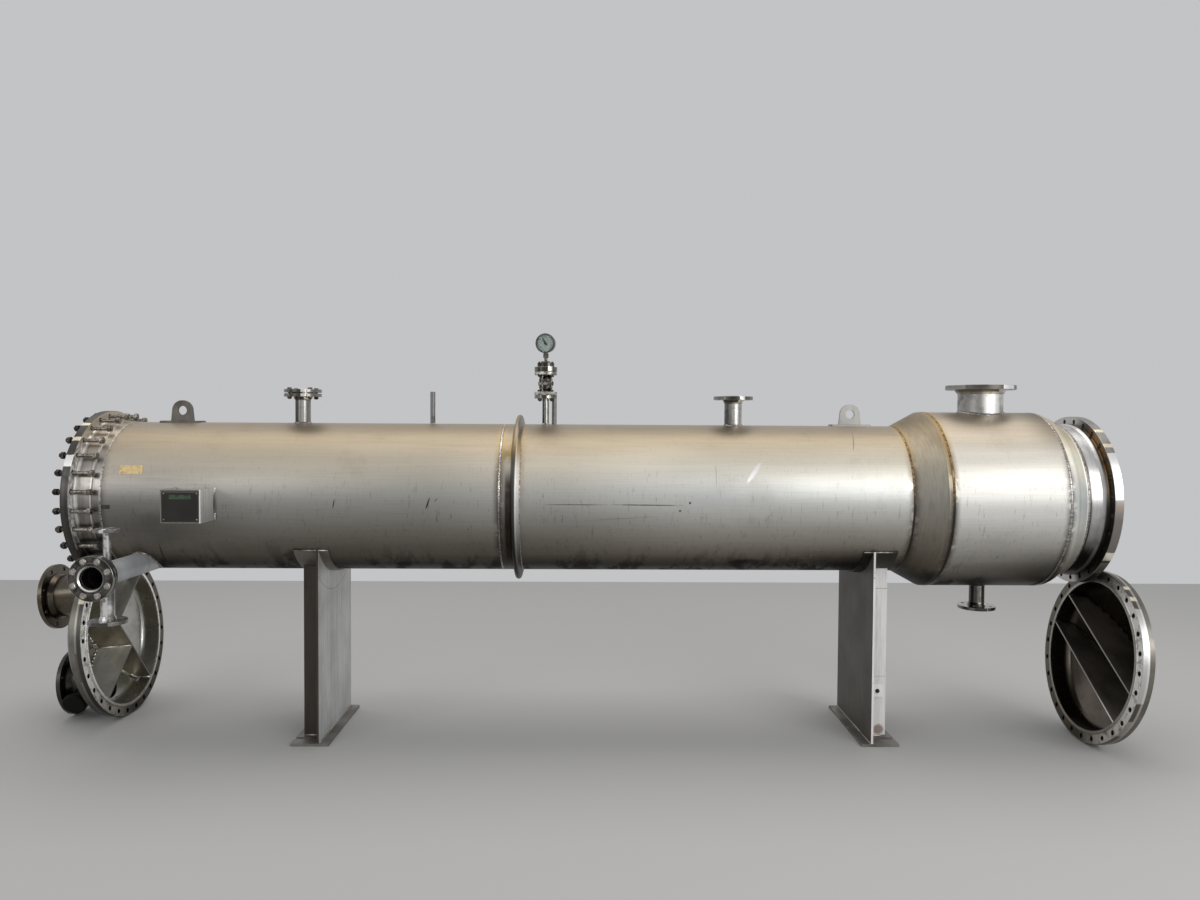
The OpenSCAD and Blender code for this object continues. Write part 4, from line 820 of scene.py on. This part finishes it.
finish_node(plate("left_lug_plate", (0.20, 0.185, 0.165), (0.10, 0.09, 0.08), 0.34), "lug_left")
finish_node(plate("right_lug_plate", (0.40, 0.39, 0.37), (0.28, 0.27, 0.25), 0.40), "lug_right")
# The wear plates: the left one painted lighter as painted light, the right one darker as painted shade
finish_node(plate("left_wear_steel", (0.32, 0.295, 0.26), (0.18, 0.165, 0.145), 0.40), "left_wear_plate")
finish_node(plate("right_wear_steel", (0.065, 0.058, 0.050), (0.035, 0.030, 0.026), 0.40), "right_wear_plate")
# Painted shade on the bracket's front, painted light on its right side and a painted highlight at its corner
bracket = plate("bracket_plate", (0.46, 0.45, 0.43), (0.36, 0.35, 0.33), 0.36,
                (("y", -1, (0.30, 0.28, 0.25)), ("x", 1, (0.98, 0.98, 0.98))))
low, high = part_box("nameplate_bracket")
corner = bracket.x.step(high[0] - 0.0075, high[0] - 0.0060) * bracket.y.step(low[1] + 0.010, low[1] + 0.007)
bracket.paint(corner, (1.0, 1.0, 0.99))
finish_node(bracket.close(), "nameplate_bracket")

low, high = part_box("nameplate")
lacquer = Finish("black_lacquer", 0.30, 0.0)
cloud = lacquer.noise(14.0, 4.0)
printed = (lacquer.x.between(low[0] + 0.001, high[0] - 0.004, 0.0006)
           * lacquer.z.between(low[2] + 0.002, high[2] - 0.009, 0.0008))
bare = lacquer.mix(cloud, (0.006, 0.005, 0.004), (0.016, 0.014, 0.011))
lacquer.colour = lacquer.mix(printed, (0.075, 0.068, 0.060), bare)
rub = (low[2] + 0.004 - lacquer.z).step(-0.001, 0.001).most((lacquer.z - high[2] + 0.003).step(-0.001, 0.001))
lacquer.paint(rub * 0.4, (0.03, 0.028, 0.025))
finish_node(lacquer.close(0.24 + cloud * 0.2), "nameplate")

screws = bmesh.new()
for x in (low[0] + 0.010, high[0] - 0.010):
    for z in (low[2] + 0.012, high[2] - 0.012):
        at = move(x, low[1] + 0.0003, z) @ TO_FRONT
        turned_rod(screws, at, 0.0030, 0.0020, 20)
        hex_nut(screws, at @ move(0, 0, 0.0010), 0.0032, 0.0012)
piece(screws, "nameplate_screws", bright_bolt)


def on_shell(z):
    """The y of the shell's near side at this height"""
    return -math.sqrt(SHELL_R ** 2 - (z - AXIS_Z) ** 2)


def bead_run(mesh, points, radius):
    """Bead along straight lines from point to point"""
    for start, end in zip(points, points[1:]):
        along = Vector(end) - Vector(start)
        lie = along.to_track_quat("Z", "Y").to_matrix().to_4x4()
        bmesh.ops.create_cone(mesh, cap_ends=True, segments=8, radius1=radius, radius2=radius,
                              depth=along.length + radius * 0.6,
                              matrix=move(*(Vector(start) + Vector(end)) / 2) @ lie)


bracket_welds = bmesh.new()
for x in (-0.4155, -0.5975):
    for bottom, top in ((1.104, 1.133), (1.226, 1.253)):
        heights = [bottom + (top - bottom) * k / 4 for k in range(5)]
        bead_run(bracket_welds, [(x, on_shell(z) - 0.001, z) for z in heights], 0.0042)
weld_piece(bracket_welds, "bracket_welds", bright_weld)


# Labels: a bare yellow paper sticker and a bare dark tag, pressed onto the shell near its left
# end, and a bare strip of green tape across the top of the nameplate.
def paper(name, light, dark):
    finish = Finish(name, 0.55, 0.0)
    worn = finish.noise(60.0, 4.0, None, 0.65)
    finish.colour = finish.mix(worn.step(0.40, 0.68), light, dark)
    return finish.close(None, worn, 0.0004, 0.4)


def shell_label(name, x0, x1, z0, z1, finish, proud):
    """A sheet of paper bent onto the shell"""
    mesh = bmesh.new()
    bmesh.ops.create_grid(mesh, x_segments=12, y_segments=12, size=0.5)
    for vert in mesh.verts:
        vert.co.x, vert.co.z = x0 + (vert.co.x + 0.5) * (x1 - x0), z0 + (vert.co.y + 0.5) * (z1 - z0)
        vert.co.y = on_shell(vert.co.z) - proud
    bmesh.ops.solidify(mesh, geom=mesh.faces, thickness=-0.0004)
    piece(mesh, name, finish)


yellow_paper = paper("yellow_paper", (0.78, 0.60, 0.30), (0.52, 0.38, 0.17))
dark_paper = paper("dark_paper", (0.035, 0.030, 0.026), (0.06, 0.052, 0.045))
green_paper = paper("green_paper", (0.042, 0.090, 0.042), (0.014, 0.026, 0.014))
shell_label("yellow_sticker", -0.871, -0.763, 1.313, 1.354, yellow_paper, 0.0006)
shell_label("dark_tag", -0.945, -0.905, 1.150, 1.169, dark_paper, 0.0010)
tape = bmesh.new()
bmesh.ops.create_grid(tape, x_segments=8, y_segments=1, size=0.5, matrix=move(-0.507, low[1] - 0.0009, 1.2215)
                      @ TO_FRONT @ Matrix.Diagonal((0.098, 0.020, 1.0, 1.0)))
bmesh.ops.solidify(tape, geom=tape.faces, thickness=0.0005)
piece(tape, "green_tape", green_paper)


# Saddles: a web plate with two ribs on a base plate, welded under a rolled wear plate. The cut
# for the shell was scribed on them first. The ribs' faces and the webs carry painted light and shade: the left web lit
# and its rib shaded, the right web shaded and its rib lit.
# Painted shade on the back side of each web
WEB_BACK = (0.30, 0.29, 0.27)


def saddle_finish(name, web, rib, web_side, metallic):
    finish = plate(name, web, tuple(part * 0.80 for part in web), 0.42,
                   (("y", -1, rib), ("y", 1, rib), ("x", -web_side, WEB_BACK)), 0.0)
    finish.set("Metallic", metallic)
    scribed = finish.around()[0].near(0.470, 0.0022) * (finish.mill + 0.4).clamp()
    finish.paint(scribed * 0.75, (0.03, 0.026, 0.022))
    streaks = finish.noise(1.0, 4.0, finish.stretch(8.0, 42.0, 1.3), 0.6)
    finish.tint(streaks.step(0.45, 0.68) * 0.5, (0.62, 0.60, 0.57))
    # Painted shade at the top, under the wear plate
    finish.tint(finish.z.step(0.80, 0.90) * 0.35, (0.55, 0.53, 0.50))
    return finish.close()


# The left web painted lit with its rib shaded; the right web painted shaded with its rib lit
finish_node(saddle_finish("left_saddle_steel", (0.62, 0.63, 0.62), (0.075, 0.062, 0.047), 1, 0.5), "left_saddle_web")
saddle = saddle_finish("right_saddle_steel", (0.085, 0.073, 0.063), (0.98, 0.97, 0.95), -1, 0.1)
on_rib = saddle.y.step(-0.1755, -0.1765)
marked = saddle.z.near(0.312, 0.0020).most(saddle.z.near(0.852, 0.0018))
saddle.paint(marked * on_rib * 0.6, (0.16, 0.15, 0.14))
foot = ((saddle.x - 2.792) / 0.030) ** 2 + ((saddle.z - 0.045) / 0.030) ** 2
saddle.paint((foot + saddle.ragged * 1.2).step(1.7, 0.9) * on_rib * 0.75, (0.17, 0.085, 0.045))
finish_node(saddle.close(), "right_saddle_web")
finish_node(plate("base_steel", (0.34, 0.32, 0.295), (0.18, 0.165, 0.145), 0.45, (), 0.4),
            "left_saddle_base", "right_saddle_base")
# The earthing lug painted bright, as painted light
tab_steel = plate("tab_steel", (0.98, 0.97, 0.95), (0.90, 0.89, 0.87), 0.32, (), 0.0)
tab_steel.set("Metallic", 0.1)
finish_node(tab_steel, "earthing_lug")

BASE_TOP, RIB_TOP, RIB_MIDDLE_Y, RIB_HALF, WEB_END_Y = 0.014, 0.78, 0.172, 0.005, 0.296
WEAR_R, WEAR_ANGLE, WEAR_HALF = 0.3745, math.radians(50), 0.082


def saddle_beads(mesh, web_faces, wear_x, rib_from, rib_to):
    """Fillets of web and ribs on the base plate, of the ribs on the web, and of the wear plate"""
    for side, web_x in zip((-1, 1), web_faces):
        bead_run(mesh, [(web_x, -WEB_END_Y, BASE_TOP), (web_x, WEB_END_Y, BASE_TOP)], 0.0045)
        for face in (-RIB_HALF, RIB_HALF):
            y = side * RIB_MIDDLE_Y + face
            bead_run(mesh, [(rib_from, y, BASE_TOP), (rib_to, y, BASE_TOP)], 0.0045)
            bead_run(mesh, [(rib_to, y, BASE_TOP), (rib_to, y, RIB_TOP)], 0.004)
        y, z = side * WEAR_R * math.sin(WEAR_ANGLE), AXIS_Z - WEAR_R * math.cos(WEAR_ANGLE)
        bead_run(mesh, [(wear_x - WEAR_HALF, y, z), (wear_x + WEAR_HALF, y, z)], 0.0040)


saddle_welds = bmesh.new()
saddle_beads(saddle_welds, (0.036, 0.046), 0.008, -0.061, 0.036)
saddle_beads(saddle_welds, (2.719, 2.729), 2.757, 2.826, 2.729)
weld_piece(saddle_welds, "saddle_welds", weld_metal)

earth_bolt = bmesh.new()
at = move(2.783, -0.185, 0.241) @ TO_FRONT
turned_rod(earth_bolt, at @ move(0, 0, 0.0002), 0.0105, 0.0020, 24)
hex_nut(earth_bolt, at @ move(0, 0, 0.0022), 0.016, 0.0070)
turned_rod(earth_bolt, at @ move(0, 0, -0.0078), 0.0048, 0.0220)
piece(earth_bolt, "earthing_bolt", bolting("earthing_steel", (0.16, 0.14, 0.12), (0.05, 0.04, 0.03), 0.3))


# Channels: the two bonnets taken off the vessel's ends, standing on their rims. A forged ring
# with a hub, a dished head, and partition plates that send the flow through the tubes six times.
CHANNEL_R, CHANNEL_RIM_R, CHANNEL_Z = 0.363, 0.4240, 0.426
LEFT_CHANNEL_Y, RIGHT_CHANNEL_Y, LEFT_ROLL, RIGHT_ROLL = 0.206, -0.198, 37.0, 29.5
LEFT_AT = (move(-1.1274, LEFT_CHANNEL_Y, 0.4263) @ turn(math.radians(90 - 5.194), "Y")
           @ turn(math.radians(90 + LEFT_ROLL), "Z"))
RIGHT_AT = (move(3.8342, RIGHT_CHANNEL_Y, 0.4261) @ turn(math.radians(-90 + 6.4), "Y")
            @ turn(math.radians(-90 - RIGHT_ROLL), "Z"))


def channel_finish(name, matrix, side, middle_y, base, inside, rim, lip, low_tint, patches):
    """Ring and head of a channel that opens to this side: turned rim with painted reflections, a mottled face painted
    lit on its near half and shaded on the far half, painted light inside, and a painted highlight on the lip round the
    opening
    """
    finish = Finish(name)
    back = matrix.inverted()
    across, up, deep = finish.parts(finish.node("ShaderNodeMapping", None, {
        "Vector": finish.place, "Location": back.to_translation(), "Rotation": back.to_euler()}))
    radius = (across * across + up * up) ** 0.5
    cloud = finish.noise(6.0, 4.0, None, 0.6)
    pitted = finish.noise(70.0, 4.0, None, 0.7)
    finish.colour = finish.mix(cloud.step(0.36, 0.66), base, (0.17, 0.16, 0.14))

    # Painted light inside: pale in the left channel, dark painted shade in the right
    within = radius.step(CHANNEL_R + 0.001, CHANNEL_R) * deep.step(0.002, -0.002)
    dished = radius.step(CHANNEL_R + 0.003, CHANNEL_R + 0.001) * deep.step(-0.110, -0.085)
    inner = (finish.facing[0] * side).step(-0.05, 0.10).most(dished) * within
    finish.paint(inner, finish.mix(cloud.step(0.35, 0.68), inside, tuple(part * 0.62 for part in inside)))

    # Painted light and shade on the rim band: bright towards the back, dark towards the face
    band = radius.step(CHANNEL_RIM_R - 0.0015, CHANNEL_RIM_R)
    finish.paint(band * 0.9, finish.mix(deep.step(-0.026, -0.021), tuple(part * 1.9 for part in rim),
                                        tuple(part * 0.42 for part in rim)))
    # Painted highlight round the lip of the opening, broken up by pitting
    lip_zone = radius.between(CHANNEL_R - 0.001, CHANNEL_R + 0.013, 0.0012) * deep.step(-0.010, -0.004)
    finish.paint(lip_zone * (0.10 + pitted.step(0.34, 0.50)).clamp(), lip)

    # Face: the near half painted lit and mottled, the far half painted shade
    face = (deep + 0.0045).step(-0.0015, 0.0005) * radius.between(CHANNEL_R + 0.016, CHANNEL_RIM_R - 0.0015, 0.001)
    nearer = (middle_y - finish.y).step(-0.04, 0.20)
    mottled = finish.noise(26.0, 4.0, None, 0.7).step(0.34, 0.52)
    finish.paint(face * nearer * (0.25 + mottled * 0.7), (0.92, 0.90, 0.86))
    finish.tint(face * (1.0 - nearer), (0.55, 0.52, 0.47))

    # Painted reflections on the rim band, and painted shade towards the floor outside
    glints(finish, finish.around(middle_y, CHANNEL_Z)[1], band, 2.0, 0.6, patches)
    finish.tint(finish.z.step(0.34, 0.04) * (1.0 - inner), low_tint)
    # Painted highlight speckle along the rim's edge
    edge = radius.between(CHANNEL_RIM_R - 0.0025, CHANNEL_RIM_R, 0.0008) * pitted.step(0.42, 0.58)
    finish.paint(edge * 0.5, (0.70, 0.68, 0.64))
    return finish.close(0.26 + cloud * 0.16 - inner * 0.06,
                        lip_zone * pitted * 2.0 + finish.noise(500.0, 2.0) * 0.05, 0.0008, 0.5)


finish_node(channel_finish("left_channel_steel", LEFT_AT, 1, LEFT_CHANNEL_Y, (0.27, 0.26, 0.24), (0.64, 0.63, 0.59),
                           (0.17, 0.16, 0.145), (1.0, 0.98, 0.94), (0.38, 0.36, 0.33),
                           ((38, 5, CREAM, 0.85), (-10, 10, (0.09, 0.082, 0.072), 0.6))),
            "left_channel_flange", "left_channel_head")
finish_node(channel_finish("right_channel_steel", RIGHT_AT, -1, RIGHT_CHANNEL_Y, (0.28, 0.265, 0.235),
                           (0.17, 0.145, 0.12), (0.28, 0.265, 0.24), (0.40, 0.38, 0.34), (0.75, 0.72, 0.68),
                           ((14, 30, WHITE_STEEL, 0.55), (62, 1.6, CREAM, 1.0), (52, 1.6, CREAM, 1.0),
                            (-38, 8, (0.62, 0.60, 0.57), 0.7))),
            "right_channel_flange", "right_channel_head")


def partition_finish(name, light, dark, front, across, centre_tone):
    """Partition plates; those that face across the channel have a painted shade tone of their own"""
    finish = plate(name, light, dark, 0.34, (), 0.0)
    finish.set("Metallic", 0.8)
    looks = finish.facing
    centre = abs(looks[0] * across[0] + looks[1] * across[1] + looks[2] * across[2]).step(0.75, 0.9)
    finish.tint(centre, centre_tone)
    sweep = finish.noise(1.0, 3.0, finish.stretch(14.0, 3.0, 3.0), 0.5)
    finish.tint(sweep.step(0.45, 0.62) * 0.5, (0.60, 0.58, 0.54))
    finish.paint(abs(looks[0]).step(0.90, 0.97), front)
    return finish.close()


# The left partitions painted lit and the right ones painted shade
partition = partition_finish("left_partition_steel", (0.95, 0.95, 0.91), (0.66, 0.65, 0.60), (0.17, 0.165, 0.15),
                             LEFT_AT.col[0], (0.30, 0.27, 0.21))
finish_node(partition, "left_channel_partitions")
partition = partition_finish("right_partition_steel", (0.26, 0.23, 0.20), (0.13, 0.115, 0.10), (0.36, 0.35, 0.33),
                             RIGHT_AT.col[0], (1.0, 1.0, 1.0))
# Painted light on the lower part of the right partitions
partition.tint(partition.z.step(0.30, 0.16), (3.2, 3.3, 3.4))
finish_node(partition.close(), "right_channel_partitions")
cap_plastic = clouded("cap_plastic", (0.003, 0.003, 0.003), (0.009, 0.008, 0.007), 40.0, 0.75, Specular_IOR_Level=0.2)
finish_node(cap_plastic, "drain_cap")

BORE_R, HALF_PLATE = 0.3622, 0.004
DISH_MIDDLE, DISH_R, KNUCKLE_DEPTH = 0.5014, 0.696, 0.072


def plate_run(mesh, matrix, level, start, end, bead_r, turned_plate=False):
    """Bead where a plate meets the wall and the dished head: down one side, along the dish, up the other"""
    steps = 14
    points = [(start, -0.006)]
    for k in range(steps + 1):
        along = start + (end - start) * k / steps
        radius = math.hypot(level, along)
        depth = -KNUCKLE_DEPTH if radius > 0.342 else DISH_MIDDLE - math.sqrt(DISH_R ** 2 - radius ** 2)
        points.append((along, depth + 0.0035))
    points.append((end, -0.006))
    bead_run(mesh, [matrix @ Vector((level, along, z) if turned_plate else (along, level, z))
                    for along, z in points], bead_r)


left_welds, right_welds = bmesh.new(), bmesh.new()
for side in (-1, 1):
    plate_run(left_welds, LEFT_AT, side * (HALF_PLATE + 0.001), -0.3620, 0.3620, 0.0052, True)
    for face in (-1, 1):
        level = side * 0.0935 + face * (HALF_PLATE + 0.001)
        reach = math.sqrt(BORE_R ** 2 - level ** 2)
        start, end = (0.006, reach) if side > 0 else (-reach, -0.006)
        plate_run(left_welds, LEFT_AT, level, start, end, 0.0052)
        level = side * 0.094 + face * (HALF_PLATE + 0.001)
        reach = math.sqrt(BORE_R ** 2 - level ** 2)
        plate_run(right_welds, RIGHT_AT, level, -reach, reach, 0.0040)
weld_piece(left_welds, "left_channel_welds", bright_weld)
weld_piece(right_welds, "right_channel_welds", tinted_weld)

# Outer welds of the channels: a bead between each ring's hub and its head, and a fillet round
# each of the left channel's two nozzles where it stands on the dished head.
outer_welds = bmesh.new()
for matrix in (LEFT_AT, RIGHT_AT):
    spun(outer_welds, [(0.369, -0.0735), (0.3715, -0.0735), (0.3725, -0.0690), (0.3715, -0.0645), (0.369, -0.0645)],
         matrix, 144)
UNROLLED = LEFT_AT @ turn(math.radians(-90 - LEFT_ROLL), "Z")
NOZZLE_OFFSET, OUTER_DISH_R, KNUCKLE_R = 0.231, 0.703, 0.345
for side in (1, -1):
    fillet = [(0.1085, -0.004), (0.1185, -0.004), (0.1180, 0.002), (0.1135, 0.0065), (0.1095, 0.0090), (0.1085, 0.007)]
    for vert in spun(outer_welds, fillet, move(-side * NOZZLE_OFFSET, 0, 0), 64):
        radius = min(math.hypot(vert.co.x, vert.co.y), 0.3685)
        skin = (DISH_MIDDLE - math.sqrt(OUTER_DISH_R ** 2 - radius ** 2) if radius < KNUCKLE_R
                else -0.0995 + (radius - KNUCKLE_R) * 1.1)
        vert.co = UNROLLED @ Vector((vert.co.x, vert.co.y, skin - vert.co.z))
weld_piece(outer_welds, "channel_outer_welds", weld_metal)


# Studio: a pale plain floor that ends far behind the vessel, a pale world, and three large
# soft lights, one above and two in front.
floor_mesh = bmesh.new()
bmesh.ops.create_grid(floor_mesh, x_segments=1, y_segments=1, size=20.0, matrix=move(1.3, -15.8, 0))
floor_data = bpy.data.meshes.new("floor")
floor_mesh.to_mesh(floor_data)
floor_mesh.free()
floor_finish = Finish("floor_finish", 0.8, 0.0)
floor_finish.set("Base Color", (0.50, 0.495, 0.485))
floor_data.materials.append(floor_finish.material)
floor = link(bpy.data.objects.new("floor", floor_data))

bpy.context.scene.view_settings.view_transform = "Standard"
world = bpy.data.worlds.new("studio")
bpy.context.scene.world = world
world.use_nodes = True
background = world.node_tree.nodes["Background"]
background.inputs["Color"].default_value = (0.88, 0.887, 0.905, 1.0)
background.inputs["Strength"].default_value = 0.62


def soft_light(name, place, aim, width, height, watts, colour=(1.0, 1.0, 1.0)):
    data = bpy.data.lights.new(name, "AREA")
    data.shape = "RECTANGLE"
    data.size, data.size_y, data.energy, data.color = width, height, watts, colour
    towards = (Vector(aim) - Vector(place)).to_track_quat("-Z", "Y").to_matrix().to_4x4()
    link(bpy.data.objects.new(name, data)).matrix_world = move(*place) @ towards


soft_light("overhead", (1.3, 0.8, 5.2), (1.3, 0.0, 1.0), 9.0, 3.0, 105.0, (1.0, 0.97, 0.92))
soft_light("front_right", (5.6, -5.0, 3.2), (2.4, 0.0, 1.0), 4.0, 3.0, 130.0)
soft_light("front_left", (-3.5, -4.5, 3.0), (0.0, 0.0, 1.0), 2.5, 2.0, 35.0)
